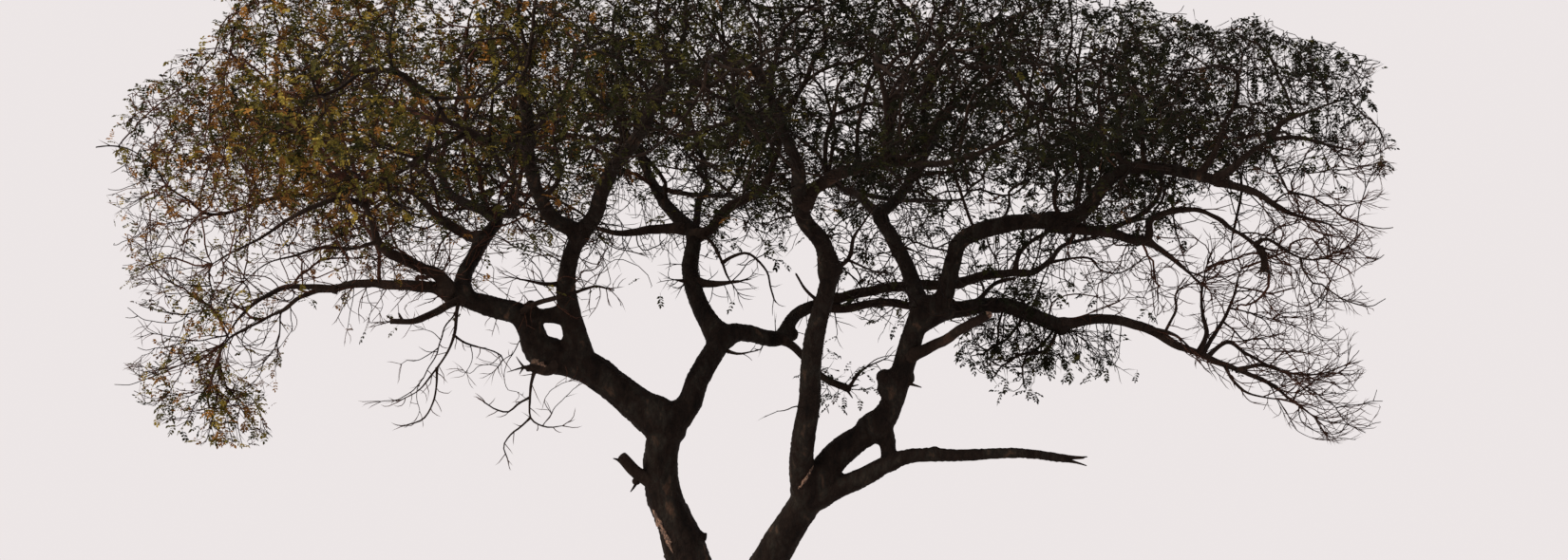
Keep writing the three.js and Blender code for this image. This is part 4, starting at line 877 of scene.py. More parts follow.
# ragged strips of torn wood on the bark: where they run in the front view and their half widths, in picture units
TORN_AT = [
    ((686, 536, 692, 547, 698, 559, 704, 571, 709, 584), 3.0), ((840, 516, 846, 508, 852, 499, 857, 490), 2.2),
    ((560, 379, 566, 384, 572, 389, 577, 394), 6.5),
]
bark_tree = BVHTree.FromPolygons([v.co[:] for v in skin.vertices], [f.vertices[:] for f in skin.polygons])
torn = Soup()
for at_line, half in TORN_AT:
    at_line = np.array(at_line, float).reshape(-1, 2)
    run = np.concatenate([[0], np.cumsum(np.linalg.norm(np.diff(at_line, axis=0), axis=1))])
    n, cols = 18, np.array([-1, -.6, -.2, .2, .6, 1])
    f = np.linspace(0, run[-1], n)
    c = np.stack([np.interp(f, run, at_line[:, 0]), np.interp(f, run, at_line[:, 1])], 1)
    t = np.gradient(c, axis=0)
    t /= np.linalg.norm(t, axis=1)[:, None]
    w = half * np.sqrt(np.sin(math.pi * (np.arange(n) + 0.4) / (n - 0.2)))[:, None]
    w = w * (1 + 0.85 * rough(np.stack([np.arange(n)[:, None] * 0.7 + 0 * cols, 2.0 * np.sign(cols) + 0 * w, 0 * cols + 9.0 * half + 0 * w], -1), 401, 2))
    uu = c[:, :1] - t[:, 1:] * w * cols
    vv = c[:, 1:] + t[:, :1] * w * cols
    ray = np.stack([place(a, b, 0.0) - EYE for a, b in zip(uu.ravel(), vv.ravel())])
    ray /= np.linalg.norm(ray, axis=1)[:, None]
    reach = np.array([bark_tree.ray_cast(Vector(EYE), Vector(d))[3] or np.nan for d in ray])
    if np.isnan(reach).mean() > 0.4:
        print("torn strip left out", at_line[0])
        continue
    mid = np.nanmedian(reach)
    reach = np.clip(np.where(np.isnan(reach), mid + 0.1, reach), mid - 0.14, mid + 0.14)
    lift = np.tile(np.where(np.abs(cols) == 1, -0.006, 0.017 * (1 - cols ** 2)), n)
    lift[:len(cols)] = lift[-len(cols):] = -0.006
    top = EYE + ray * (reach - lift)[:, None]
    low = EYE + ray * (reach + 0.045)[:, None]
    k = len(cols)
    i = np.arange(n - 1)[:, None] * k
    j = np.arange(k - 1)[None]
    quads = np.stack([i + j, i + k + j, i + k + j + 1, i + j + 1], -1).reshape(-1, 4)
    a, b, d = top[quads[0, 0]], top[quads[0, 1]], top[quads[0, 3]]
    if np.cross(b - a, d - a) @ ray[0] > 0:
        quads = quads[:, ::-1]
    rim = [x for x in range(k)] + [r * k + k - 1 for r in range(1, n)] + [(n - 1) * k + x for x in range(k - 2, -1, -1)] + [r * k for r in range(n - 2, 0, -1)]
    side = np.array([[rim[x], rim[(x + 1) % len(rim)], rim[(x + 1) % len(rim)] + n * k, rim[x] + n * k] for x in range(len(rim))])
    edge_of = {(q[x], q[(x + 1) % 4]) for q in quads.tolist() for x in range(4)}
    if (rim[0], rim[1]) in edge_of:
        side = side[:, ::-1]
    torn.add(np.vstack([top, low]), None, np.vstack([quads, quads[:, ::-1] + n * k, side]))
spur = line_of("right_low_spur")
ball(torn, spur[-1], (.052, .040, .045), 3)
torn_piece = torn.make("torn_wood_patches", [TORN])
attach(torn_piece, "root")

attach(trunk_piece, "root")
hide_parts(*[n for n in thick_names if n in cad_names])
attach(slim_piece, "root")
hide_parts(*slim_cad)

# ------------------------------------------------------------------ where the crown grows
MASSES = sorted(n for n in frame["nodes"] if n.startswith("mass_"))
trees = {}
for n in MASSES:
    me = frame["nodes"][n].data
    trees[n] = BVHTree.FromPolygons([v.co[:] for v in me.vertices], [p.vertices[:] for p in me.polygons])


def depth_in(n, p):
    """How far p is inside mass n, below 0 outside."""
    loc, nor, _, dist = trees[n].find_nearest(Vector(p))
    return dist if (Vector(p) - loc).dot(nor) < 0 else -dist


# openings in the crown as the front view shows them: middle, half sizes, share of growth kept
GAPS = [
    (500, 112, 46, 17, .15), (475, 162, 26, 13, .2), (540, 188, 22, 23, .2), (630, 135, 30, 14, .25),
    (655, 218, 26, 18, .15), (715, 198, 26, 28, .15), (862, 95, 30, 36, .12), (915, 120, 16, 30, .2),
    (962, 115, 14, 16, .25), (1065, 145, 11, 16, .3), (1124, 42, 26, 14, .25), (1255, 70, 16, 11, .2),
    (1028, 70, 18, 11, .25), (420, 172, 20, 12, .3), (390, 75, 30, 14, .35), (1270, 215, 40, 14, .3),
    (760, 150, 14, 26, .3), (1010, 190, 30, 14, .3), (600, 60, 20, 12, .4), (450, 75, 24, 12, .3),
    (355, 215, 40, 10, .4), (930, 205, 22, 14, .3), (1040, 215, 26, 12, .3),
    (630, 32, 15, 12, .2), (577, 72, 20, 11, .2), (691, 80, 13, 12, .2), (621, 127, 17, 14, .2), (775, 27, 14, 9, .25),
    (760, 62, 17, 9, .25), (743, 117, 27, 12, .2), (852, 11, 13, 10, .25), (812, 8, 14, 7, .3), (711, 178, 27, 24, .1),
    (609, 160, 22, 18, .2), (772, 192, 24, 11, .15), (802, 162, 22, 16, .2), (1325, 101, 15, 10, .2), (1340, 164, 17, 10, .3),
    (1276, 73, 9, 7, .3), (1395, 101, 40, 8, .15), (1442, 100, 14, 9, .1), (1405, 141, 30, 9, .3), (1350, 128, 16, 8, .35), (1100, 100, 14, 9, .35), (985, 55, 14, 9, .35), (1075, 103, 13, 10, .2), (1066, 138, 21, 18, .25), (1018, 78, 11, 11, .3), (878, 115, 13, 12, .25),
]


def share_kept(p):
    u, v = shows(p)
    keep = np.ones(len(p))
    for gu, gv, a, b, share in GAPS:
        d = ((u - gu) / a) ** 2 + ((v - gv) / b) ** 2
        keep = np.minimum(keep, share + (1 - share) * np.clip((d - 0.75) / 0.6, 0, 1))
    return keep


# growth per cubic metre of each kind: clumps, twig ends in a clump, spread of a clump m
KINDS = {"crown": (5.8, 24, 0.235), "left": (5.0, 15, 0.24), "bare": (3.2, 8, 0.30), "hang": (27.0, 24, 0.14)}
KIND_OF = {"mass_right_skirt": "bare", "mass_right_skirt_low": "bare", "mass_left_skirt": "left",
           "mass_left_skirt_tip": "left", "mass_left_under": "left", "mass_right_hanging": "hang"}
clumps, ends = {k: [] for k in KINDS}, {k: [] for k in KINDS}
rnd = np.random.default_rng(SEED + 1)
for n in MASSES:
    kind = KIND_OF.get(n, "crown")
    many, per, spread = KINDS[kind]
    if n == "mass_left_skirt":
        many *= 0.55
    lo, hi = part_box(n)
    lo, hi = np.array(lo), np.array(hi)
    vol = float(np.prod(hi - lo))
    c = lo + (hi - lo) * rnd.random((int(vol * many), 3))
    if kind == "crown":
        c = c[rnd.random(len(c)) < share_kept(c) * np.where(c[:, 2] > 7.3, np.interp(c[:, 0], [-7.2, -6.4, -5.2], [0.36, 0.56, 1.0]), np.interp(c[:, 0], [-7.2, -6.4, -5.2], [0.30, 0.45, 1.0]))]
        c = c[rnd.random(len(c)) < np.interp(c[:, 0], [5.6, 6.4, 7.2], [1.0, 0.86, 0.74])]
    c = np.array([p for p in c if depth_in(n, p) > 0.04])
    e = np.repeat(c, per, axis=0) + rnd.normal(0, 1, (len(c) * per, 3)) * np.array([spread, spread, spread * 0.72])
    e = np.array([p for p in e if depth_in(n, p) > -0.05])
    if kind == "bare":
        c, e = (q[shows(q)[1] < np.interp(shows(q)[0], [1200, 1260, 1300, 1350, 1400, 1450], [322, 350, 385, 425, 462, 470])] for q in (c, e))
    clumps[kind].append(c)
    ends[kind].append(e)
# more clumps along the top of the outline, left and right: middle in the front view, depth, half sizes m, how many
for u, v, y, a, b, h, many in [
        (1405, 75, .1, .35, .9, .20, 10), (1438, 74, .1, .26, .7, .14, 9), (1350, 54, 0, .35, .8, .14, 11), (1328, 27, 0, .14, .4, .10, 5),
        (1450, 142, .1, .20, .6, .16, 7), (1300, 48, 0, .38, .8, .12, 11), (1262, 40, 0, .34, .7, .12, 8), (1195, 30, 0, .45, .8, .14, 9),
        (1150, 125, -.5, .40, 1.6, .40, 6), (1215, 105, -.3, .40, 1.8, .45, 8), (1130, 175, -.6, .25, 1.2, .16, 3),
        (272, 34, 0, .30, 1.0, .20, 7), (302, 16, 0, .42, 1.3, .24, 12), (345, 6, 0, .42, 1.6, .26, 12), (385, -2, 0, .35, 1.5, .22, 8)]:
    c = place(u, v, y) + rnd.uniform(-1, 1, (many, 3)) * np.array([a, b, h])
    e = np.repeat(c, 20, axis=0) + rnd.normal(0, 1, (many * 20, 3)) * np.array([.20, .22, .12])
    clumps["crown"].append(c[within(c)])
    ends["crown"].append(e[within(e)])
clumps = {k: np.vstack(v) for k, v in clumps.items()}
ends = {k: np.vstack(v) for k, v in ends.items()}
for k in KINDS:
    clumps[k], ends[k] = clumps[k][within(clumps[k])], ends[k][within(ends[k])]
print("clumps", {k: len(v) for k, v in clumps.items()}, "twig ends", {k: len(v) for k, v in ends.items()})


# ------------------------------------------------------------------ growth
def outward(p):
    """Level direction away from the middle of the crown."""
    d = np.array([p[0] - 0.2, p[1] - 0.1, 0.0])
    return d / (np.linalg.norm(d) + 0.5)


class Growth:
    """A branching system that grows towards free points in small steps."""

    def __init__(self):
        self.pos, self.par, self.dir, self.kids, self.rmax, self.fixed, self.curl = [], [], [], [], [], [], []

    def add(self, pos, par, direction, rmax=1.0, fixed=False, curl=np.zeros(3)):
        self.curl.append(curl)
        self.pos.append(np.asarray(pos, float))
        self.par.append(par)
        self.dir.append(np.asarray(direction, float))
        self.kids.append(0)
        self.rmax.append(rmax)
        self.fixed.append(fixed)
        if par >= 0:
            self.kids[par] += 1
        return len(self.pos) - 1

    def grow(self, targets, sources, step, reach, kill, inertia, lift, out, jitter, rounds, rnd, most=3):
        targets = np.asarray(targets, float)
        live = np.ones(len(targets), bool)
        near = np.full(len(targets), 1e9)
        who = np.full(len(targets), -1)
        fresh = list(sources)
        for turn in range(rounds):
            if not fresh:
                break
            kd = KDTree(len(fresh))
            for i in fresh:
                kd.insert(self.pos[i], i)
            kd.balance()
            for t in np.nonzero(live)[0]:
                _, i, d = kd.find(targets[t])
                if d < near[t]:
                    near[t], who[t] = d, i
            live &= near > kill
            act = np.nonzero(live & (near < reach))[0]
            if not len(act):
                break
            pull = {}
            for t in act:
                i = who[t]
                d = targets[t] - self.pos[i]
                d /= near[t] + 1e-9
                if i in pull:
                    pull[i][0] += d
                    pull[i][1].append(t)
                else:
                    pull[i] = [d.copy(), [t]]
            fresh = []
            for i, (d, ts) in pull.items():
                if self.kids[i] >= most:
                    live[ts] = False
                    continue
                d = d / (np.linalg.norm(d) + 1e-9)
                curl = self.curl[i] * 0.8 + rnd.normal(0, jitter * 0.6, 3)
                d = d + self.dir[i] * inertia + np.array([0, 0, lift]) + outward(self.pos[i]) * out + curl
                d /= np.linalg.norm(d) + 1e-9
                fresh.append(self.add(self.pos[i] + d * step, i, d, curl=curl))
        return self


BARE_LIMBS = {"right_low_twin", "right_low_riser", "right_low_riser_b", "right_low_riser_c", "right_low_fan",
              "right_low_fan_b", "right_low_fan_c", "right_arch_twig", "right_main_low_run", "right_high_run"}
HANG_LIMBS = {"right_low_bough"}
LEFT_LIMBS = {"left_long_limb", "left_long_limb_high", "left_back_run", "left_front_run", "left_front_run_b"}
NO_GROWTH = {"middle_hang", "middle_hang_b", "middle_low_twig", "middle_stub_low", "middle_stub_twig", "left_stub",
             "left_stub_spur", "left_scar", "left_scar_hang", "left_scar_hang_b", "left_scar_hang_c", "left_knee_twigs",
             "left_knee_twigs_b", "left_knee_twigs_c", "right_spur", "right_lump", "dead_arm", "dead_arm_link",
             "stem_stub", "left_brace", "left_inner_twig", "left_stem", "right_stem", "left_bough", "middle_bough",
             "trunk", "right_loop_twig", "middle_cross", "middle_cross_b", "middle_level", "right_front_twig",
             "right_front_twig_b", "right_front_spike", "right_low_spur", "right_front_bough", "left_inner_cross",
             "right_arch_stump"}


rnd = np.random.default_rng(SEED + 2)
g = Growth()
sources = {k: [] for k in KINDS}
sources["under"] = []
# the limbs offer starting points, closer together towards their ends
for name in axes:
    if name in NO_GROWTH:
        continue
    p = line_of(name)
    length = axes[name]["length"]
    last = -1.0
    n = len(p)
    for k in range(n):
        s = k / (n - 1) * length
        end = k == n - 1
        bare = name in BARE_LIMBS or (name == "right_main_low" and s > 0.5 * length) or (name == "right_low_outer" and s > 0.45 * length)
        if not end and s - last < (0.16 if bare else 0.30):
            continue
        last = s + rnd.uniform(-0.05, 0.12)
        d = p[min(k + 1, n - 1)] - p[max(k - 1, 0)]
        d /= np.linalg.norm(d)
        r = float(girth(name, k / (n - 1)))
        i = g.add(p[k], -1, d * (1.0 if end else 0.3), r * (0.95 if end else 0.62), True)
        kind = "bare" if bare else "hang" if name in HANG_LIMBS or name == "right_low_outer" else "left" if name in LEFT_LIMBS else "crown"
        sources[kind].append(i)
        if name == "left_back_run":
            sources["crown"].append(i)
#             step reach kill inertia lift out jitter rounds most, first to the clumps and then to the twig ends
RULES = {
    "crown": ((0.17, 3.0, 0.24, 0.62, 0.06, 0.16, 0.36, 70, 2), (0.105, 1.0, 0.115, 0.60, 0.05, 0.14, 0.34, 40, 3)),
    "left": ((0.13, 1.6, 0.20, 0.60, -0.04, 0.18, 0.42, 50, 2), (0.095, 0.8, 0.110, 0.60, 0.0, 0.25, 0.36, 40, 3)),
    "bare": ((0.11, 1.5, 0.15, 0.62, -0.02, 0.24, 0.42, 60, 3), (0.095, 0.8, 0.110, 0.60, 0.03, 0.25, 0.40, 40, 3)),
    "hang": ((0.10, 1.1, 0.12, 0.62, -0.16, 0.00, 0.36, 30, 2), (0.080, 0.6, 0.080, 0.55, -0.10, 0.0, 0.30, 30, 3)),
    "under": ((0.085, 0.8, 0.100, 0.60, -0.02, 0.0, 0.42, 30, 3), None),
}
# the open net of fine twigs under the crown, close round the limbs: limb, from, to, free points per metre
rnd_u = np.random.default_rng(SEED + 7)
clumps["under"] = []
for name, a, b, many in [
        ("left_long_limb", .0, .60, 22), ("left_long_limb_high", .0, 1.0, 16), ("left_bough_knee", .45, 1.0, 20), ("left_back_bough", .0, .60, 20),
        ("left_front_bough", .0, 1.0, 24), ("left_back_limb", .0, 1.0, 24), ("left_back_run", .0, .60, 16), ("left_front_run", .0, .8, 14), ("left_inner_bough", .18, .70, 16),
        ("left_inner_fork_right", .05, .75, 22), ("left_inner_cross", .1, 1.0, 18), ("middle_rise", .25, .75, 22), ("middle_rise_right", .0, .9, 22),
        ("middle_level", .05, 1.0, 30), ("middle_arm", .45, 1.0, 14), ("middle_arm_outer", .0, .95, 34), ("middle_arm_lower", .10, 1.0, 34),
        ("right_front_neck", .05, .7, 20), ("right_front_right_limb", .0, 1.0, 22), ("right_back_bough", .0, .75, 22), ("right_back_left_limb", .0, .8, 20),
        ("right_main_bough", .15, 1.0, 32), ("right_main_high", .0, .8, 26), ("right_main_low", .0, .6, 32), ("right_low_bough", .05, 1.0, 36),
        ("right_front_twig", .1, 1.0, 18), ("middle_snake", .1, .9, 18), ("right_loop_twig", .0, 1.0, 26), ("right_level_twig", .0, 1.0, 26),
        ("right_back_mast", .0, 1.0, 14), ("right_high_loop", .0, 1.0, 16), ("middle_cross_b", .2, 1.0, 14)]:
    p = line_of(name)
    total = axes[name]["length"]
    for f in np.arange(a, b, 0.14 / total):
        k = min(len(p) - 2, int(f * (len(p) - 1)))
        t = p[k + 1] - p[k]
        sources["under"].append(g.add(p[k], -1, t / np.linalg.norm(t) * 0.2, float(girth(name, f)) * 0.4, True))
    n = int(total * (b - a) * many)
    f = rnd_u.uniform(a, b, n) * (len(p) - 1)
    q = p[np.minimum(f.astype(int), len(p) - 1)]
    away = rnd_u.normal(0, 1, (n, 3)) * np.array([1, 1, 0.85])
    away /= np.linalg.norm(away, axis=1)[:, None]
    clumps["under"].append(q + away * (0.12 + rnd_u.exponential(0.34, (n, 1))))
for u0, u1, v0, v1, y0, y1, many in [(955, 1110, 236, 330, -1.3, .9, 400), (1110, 1240, 250, 325, -1.0, .6, 60), (905, 965, 245, 330, -1.0, .4, 150),
                                     (560, 640, 215, 290, -1.2, .8, 120), (800, 830, 200, 262, -1.0, .8, 40)]:
    c = rnd_u.random((many, 3))
    clumps["under"].append(np.stack([place(u0 + (u1 - u0) * a, v0 + (v1 - v0) * b, y0 + (y1 - y0) * w) for a, b, w in c]))
q = np.vstack(clumps["under"])
u, v = shows(q)
lowest = np.interp(u, [250, 300, 370, 440, 520, 560, 600, 640, 720, 760, 830, 860, 900, 960, 1020, 1060, 1130, 1180, 1240],
                   [305, 300, 312, 318, 325, 338, 328, 305, 305, 280, 255, 265, 322, 335, 330, 338, 332, 335, 330])
clumps["under"] = q[(v < lowest) & (v > 120) & (q > LOW + 0.1).all(1) & (q < HIGH - 0.1).all(1)]
coarse = {}
for kind, (a, _) in RULES.items():
    born = len(g.pos)
    g.grow(clumps[kind], sources[kind], *a[:8], rnd, most=a[8])
    coarse[kind] = sources[kind] + list(range(born, len(g.pos)))
first = len(g.pos)
zone = {}
for kind, (_, a) in RULES.items():
    if a is None:
        continue
    born = len(g.pos)
    g.grow(ends[kind], coarse[kind], *a[:8], rnd, most=a[8])
    zone[kind] = (born, len(g.pos))
print("growth nodes", first, {k: b - a for k, (a, b) in zone.items()})

pos = np.array(g.pos)
par = np.array(g.par)
fixed = np.array(g.fixed)
N = len(pos)
kids = [[] for _ in range(N)]
for i in range(N):
    if par[i] >= 0:
        kids[par[i]].append(i)

# thickness adds up from the tips
TIP = 0.0051
POWER = 2.5
flow = np.zeros(N)
for i in range(N - 1, -1, -1):
    if not kids[i] and not fixed[i]:
        flow[i] += TIP ** POWER
    if par[i] >= 0:
        flow[par[i]] += flow[i]
rad = np.maximum(flow, 1e-12) ** (1 / POWER)
rmax = np.array(g.rmax)
cap = np.ones(N)
for i in range(N):
    if par[i] >= 0:
        cap[i] = min(cap[par[i]], 1.0)
    if fixed[i]:
        cap[i] = min(1.0, rmax[i] / max(rad[i], 1e-6))
rad = np.where(fixed, np.minimum(rad, rmax), rad * np.clip(cap, 0.3, 1.0) ** 0.8)
rad = np.maximum(rad, TIP * 0.9)

# soften the zigzag, keep the starts
main = np.full(N, -1)
for i in range(N):
    if kids[i]:
        main[i] = max(kids[i], key=lambda c: flow[c])
for _ in range(2):
    sm = pos.copy()
    ok = (par >= 0) & (main >= 0)
    idx = np.nonzero(ok)[0]
    sm[idx] = 0.5 * pos[idx] + 0.25 * (pos[par[idx]] + pos[main[idx]])
    pos = sm
pos = np.where(fixed[:, None], pos, np.clip(pos, LOW + 0.04, HIGH - 0.04))
far = np.zeros(N)                                # along the twig from the limb that bears it
for i in range(N):
    if par[i] >= 0:
        far[i] = far[par[i]] + np.linalg.norm(pos[i] - pos[par[i]])
away = np.clip(far / 0.6, 0, 1)[:, None]
pos += away * (0.085 * np.stack([rough(pos * 3.2, 201 + c, 2) for c in range(3)], 1) + 0.20 * np.stack([rough(pos * 1.1, 221 + c, 1) for c in range(3)], 1))

pos = np.where(fixed[:, None], pos, np.clip(pos, LOW + 0.03, HIGH - 0.03))

# ------------------------------------------------------------------ twigs
GROUPS = {
    "left": ["mass_outer_left", "mass_outer_left_back", "mass_outer_left_front", "mass_inner_left", "mass_left_skirt", "mass_left_skirt_tip", "mass_left_under"],
    "front": ["mass_outer_front_left", "mass_outer_front", "mass_outer_front_right", "mass_inner_front_left", "mass_inner_front_right"],
    "back": ["mass_outer_back_left", "mass_outer_back", "mass_outer_back_right", "mass_inner_back_left", "mass_inner_back_right"],
    "right": ["mass_outer_right", "mass_outer_right_back", "mass_outer_right_front", "mass_inner_right", "mass_right_hanging"],
    "right_low": ["mass_right_skirt", "mass_right_skirt_low"],
    "top": ["mass_top_centre"],
}
middles = {n: (np.array(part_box(n)[0]) + np.array(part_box(n)[1])) / 2 for n in MASSES}
halves = {n: (np.array(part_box(n)[1]) - np.array(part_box(n)[0])) / 2 for n in MASSES}
order = [(gname, n) for gname, ns in GROUPS.items() for n in ns]
C = np.array([middles[n] for _, n in order])
H = np.array([halves[n] for _, n in order])


def mass_of(p):
    """The mass that points belong to, as an index into order."""
    d = np.linalg.norm((np.asarray(p)[:, None] - C[None]) / H[None], axis=2)
    return d.argmin(1)


def thin(p, r, tol):
    """The same line without the points that hardly bend it."""
    keep = [0]
    for k in range(1, len(p) - 1):
        a, b = p[keep[-1]], p[k + 1]
        ab = b - a
        t = ((p[k] - a) @ ab) / (ab @ ab + 1e-12)
        if np.linalg.norm(a + ab * t - p[k]) > tol or k - keep[-1] >= 4:
            keep.append(k)
    keep.append(len(p) - 1)
    return p[keep], r[keep]


def twig(soup, p, r, sides=3):
    """A slender tube that ends in a point, closed at its foot."""
    t, n, b = rings_along(p)
    th = np.arange(sides) * 2 * math.pi / sides
    out = n[:-1, None] * np.cos(th)[None, :, None] + b[:-1, None] * np.sin(th)[None, :, None]
    v = (p[:-1, None] + out * r[:-1, None, None]).reshape(-1, 3)
    k = len(p) - 1
    j = np.arange(sides)
    jn = (j + 1) % sides
    i = np.arange(k - 1)[:, None] * sides
    quads = np.stack([i + j, i + jn, i + sides + jn, i + sides + j], -1).reshape(-1, 4)
    last = (k - 1) * sides
    tris = [[last + a, last + (a + 1) % sides, k * sides] for a in range(sides)]
    tris += [[0, a + 1, a] for a in range(1, sides - 1)]
    soup.add(np.vstack([v, p[-1]]), tris, quads)


twigs = {k: Soup() for k in GROUPS}
sprays = []                                      # place, direction, number of compound leaves, their size

# chains: each runs from a fork to a tip along the thickest way
tips = []
starts = [(i, c) for i in range(N) for c in kids[i] if c != main[i] or fixed[i]]
belongs = mass_of(pos)
for i, c in starts:
    chain = [i, c]
    while main[chain[-1]] >= 0:
        chain.append(main[chain[-1]])
    p = pos[chain]
    r = rad[chain].copy()
    r[0] = min(rad[i], r[1] * 1.25)
    r[-1] = TIP * 0.8
    end_dir = p[-1] - p[-2]
    end_dir /= np.linalg.norm(end_dir) + 1e-9
    p = np.vstack([p, np.clip(p[-1] + end_dir * 0.10 + np.array([0, 0, 0.02]), LOW + 0.02, HIGH - 0.02)])
    r = np.append(r, TIP * 0.5)
    group = order[belongs[chain[-1]]][0]
    ok = within(p)
    if not ok[2:].all():
        k = 2 + int(np.argmin(ok[2:]))
        if k < 3:
            continue
        p, r, chain = p[:k], r[:k], chain[:k]
    q, rq = thin(p, r, 0.009)
    twig(twigs[group], q, rq, 3 if r[1] < 0.014 else 5)
    tips.append((chain, end_dir, p, r, group))
print("chains", len(tips), "twig triangles", {k: s.triangles() for k, s in twigs.items()})


def sprig(p, d, length, r, level, rnd, group, lift=0.0, out=0.02, curl=0.11, spacing=0.15, hook=0.07, leafy=0.0, leaves=2, step=0.06, spread=(28, 68), kink=0.0, small=1.0):
    """A bare twig that wanders, turns up towards its end and bears side twigs that do the same."""
    n = max(3, int(round(length / step)))
    k = rnd.normal(0, curl * 0.7, 3)
    pts, dirs = [np.asarray(p, float)], [np.asarray(d, float)]
    d = np.asarray(d, float)
    for q in range(n):
        share = (q + 1) / n
        k = 0.78 * k + rnd.normal(0, curl * 0.62, 3)
        if kink and rnd.random() < kink:
            d = d + rnd.normal(0, 0.24, 3)
        d = d + k - d * float(k @ d) + np.array([0, 0, lift + hook * max(0.0, share - 0.35)]) + outward(pts[-1]) * out
        d = d / math.sqrt(float(d @ d))
        q1 = pts[-1] + d * step
        if (q1 < LOW + 0.02).any() or (q1 > HIGH - 0.02).any() or not within(q1)[0]:
            break
        pts.append(q1)
        dirs.append(d)
    if len(pts) < 3:
        return
    length = step * (len(pts) - 1)
    pts = np.array(pts)
    rr = np.linspace(r, 0.0037, len(pts))
    qq, rq = thin(pts, rr, 0.005)
    twig(twigs[group], qq, rq, 3 if r < 0.014 else 5)
    if leafy > 0 and rnd.random() < leafy:
        sprays.append((pts[-1], dirs[-1], leaves, small))
        if small < 1 and len(pts) > 5:
            q = int(rnd.integers(len(pts) // 2, len(pts) - 1))
            sprays.append((pts[q], dirs[q], 1, small))
    if level <= 0:
        return
    s = length * 0.10 + rnd.uniform(0, spacing)
    hand = 1 if rnd.random() < 0.5 else -1
    while s < length - 0.05:
        q = min(len(pts) - 2, int(s / step))
        a = pts[q] + (pts[q + 1] - pts[q]) * min(1.0, s / step - q)
        d0 = dirs[q + 1]
        side = np.cross(d0, np.array([0, 0, 1.0]) + rnd.normal(0, 0.9, 3))
        side /= np.linalg.norm(side) + 1e-9
        ang = math.radians(rnd.uniform(*spread))
        d1 = d0 * math.cos(ang) + side * hand * math.sin(ang)
        hand = -hand if rnd.random() < 0.75 else hand
        sub = (length - s) * rnd.uniform(0.30, 0.75) + rnd.uniform(0.04, 0.14)
        sprig(a, d1, sub, min(rr[q] * 0.8, 0.0042 + 0.0055 * sub), level - 1, rnd, group, lift, out, curl, spacing, hook, leafy, leaves, step, spread, kink, small)
        s += spacing * rnd.uniform(0.6, 1.6)


def dress(name, first, last, every, length, r, level, group, rnd, fan=0.5, down=0.0, **how):
    """Sprigs along a limb from share first to last."""
    p = line_of(name)
    total = axes[name]["length"]
    s = first * total
    while s < last * total:
        k = min(len(p) - 2, int(s / total * (len(p) - 1)))
        t = p[k + 1] - p[k]
        t /= np.linalg.norm(t)
        side = np.cross(t, rnd.normal(0, 1, 3))
        side /= np.linalg.norm(side)
        side[2] -= down
        d = t * fan + side * (1 - fan)
        d /= np.linalg.norm(d)
        sprig(p[k], d, length * rnd.uniform(0.5, 1.25), min(r, 0.75 * float(girth(name, s / total))), level, rnd, group, **how)
        s += every * rnd.uniform(0.5, 1.5)
    if last >= 1:
        for _ in range(3):
            t = p[-1] - p[-3]
            t /= np.linalg.norm(t)
            d = t + rnd.normal(0, 0.30, 3)
            d /= np.linalg.norm(d)
            sprig(p[-1] - t * 0.02, d, length * rnd.uniform(0.7, 1.2), min(r, 0.9 * float(girth(name, 1))), level, rnd, group, **how)


rnd = np.random.default_rng(SEED + 5)
# bare twigs on the tips and sides of what has grown: many at the bare right side, some at the left edge
for chain, end_dir, p, r, group in tips:
    tip = pos[chain[-1]]
    bare = 1.0 if group == "right_low" else 0.0
    if group == "left":
        bare = 0.20 if tip[0] < -5.6 else 0.28 if tip[2] < 6.6 else 0.12 if tip[0] < -4.8 else 0.0
    if group == "right" and tip[0] > 5.6:
        bare = 0.15
    if group == "right_low":
        bare = 0.62
    if bare == 0.0:
        continue
    if rnd.random() < bare:
        sprig(p[-2], end_dir, rnd.uniform(0.16, 0.46), 0.0066, 1, rnd, group, out=0.03, hook=0.11, spacing=0.15, curl=0.17)
    for k in range(1, len(p) - 2):
        if rnd.random() < 0.30 * bare:
            t = p[k + 1] - p[k]
            t /= np.linalg.norm(t) + 1e-9
            d = t * 0.7 + np.cross(t, rnd.normal(0, 1, 3))
            d /= np.linalg.norm(d)
            sprig(p[k], d, rnd.uniform(0.12, 0.36), min(0.0066, r[k] * 0.8), 1, rnd, group, out=0.02, spacing=0.16, curl=0.17)
print("with edge sprigs", {k: s.triangles() for k, s in twigs.items()})
# long twigs on the bare limbs of the right side, running outwards and turning up
for name, a, b, gap, long in [
        ("right_low_outer", .50, 1.0, .20, .75), ("right_low_twin", .3, 1.0, .24, .60), ("right_low_riser", .2, 1.0, .20, .60),
        ("right_low_riser_b", .2, 1.0, .20, .65), ("right_low_riser_c", .2, 1.0, .22, .55), ("right_low_fan", .15, 1.0, .20, .70),
        ("right_low_fan_b", .15, 1.0, .20, .70), ("right_low_fan_c", .15, 1.0, .20, .65), ("right_arch_twig", .1, 1.0, .20, .65),
        ("right_main_low", .55, 1.0, .22, .55), ("right_main_low_run", .2, 1.0, .20, .65), ("right_high_run", .25, 1.0, .20, .70),
        ("right_low_outer", .18, .50, .30, .40), ("right_arch_stump", .6, .95, .16, .22)]:
    dress(name, a, b, gap, long, 0.0095, 1, "right_low", rnd, fan=0.70, out=0.055, hook=0.09, curl=0.13, spacing=0.18, spread=(20, 48), kink=0.22)
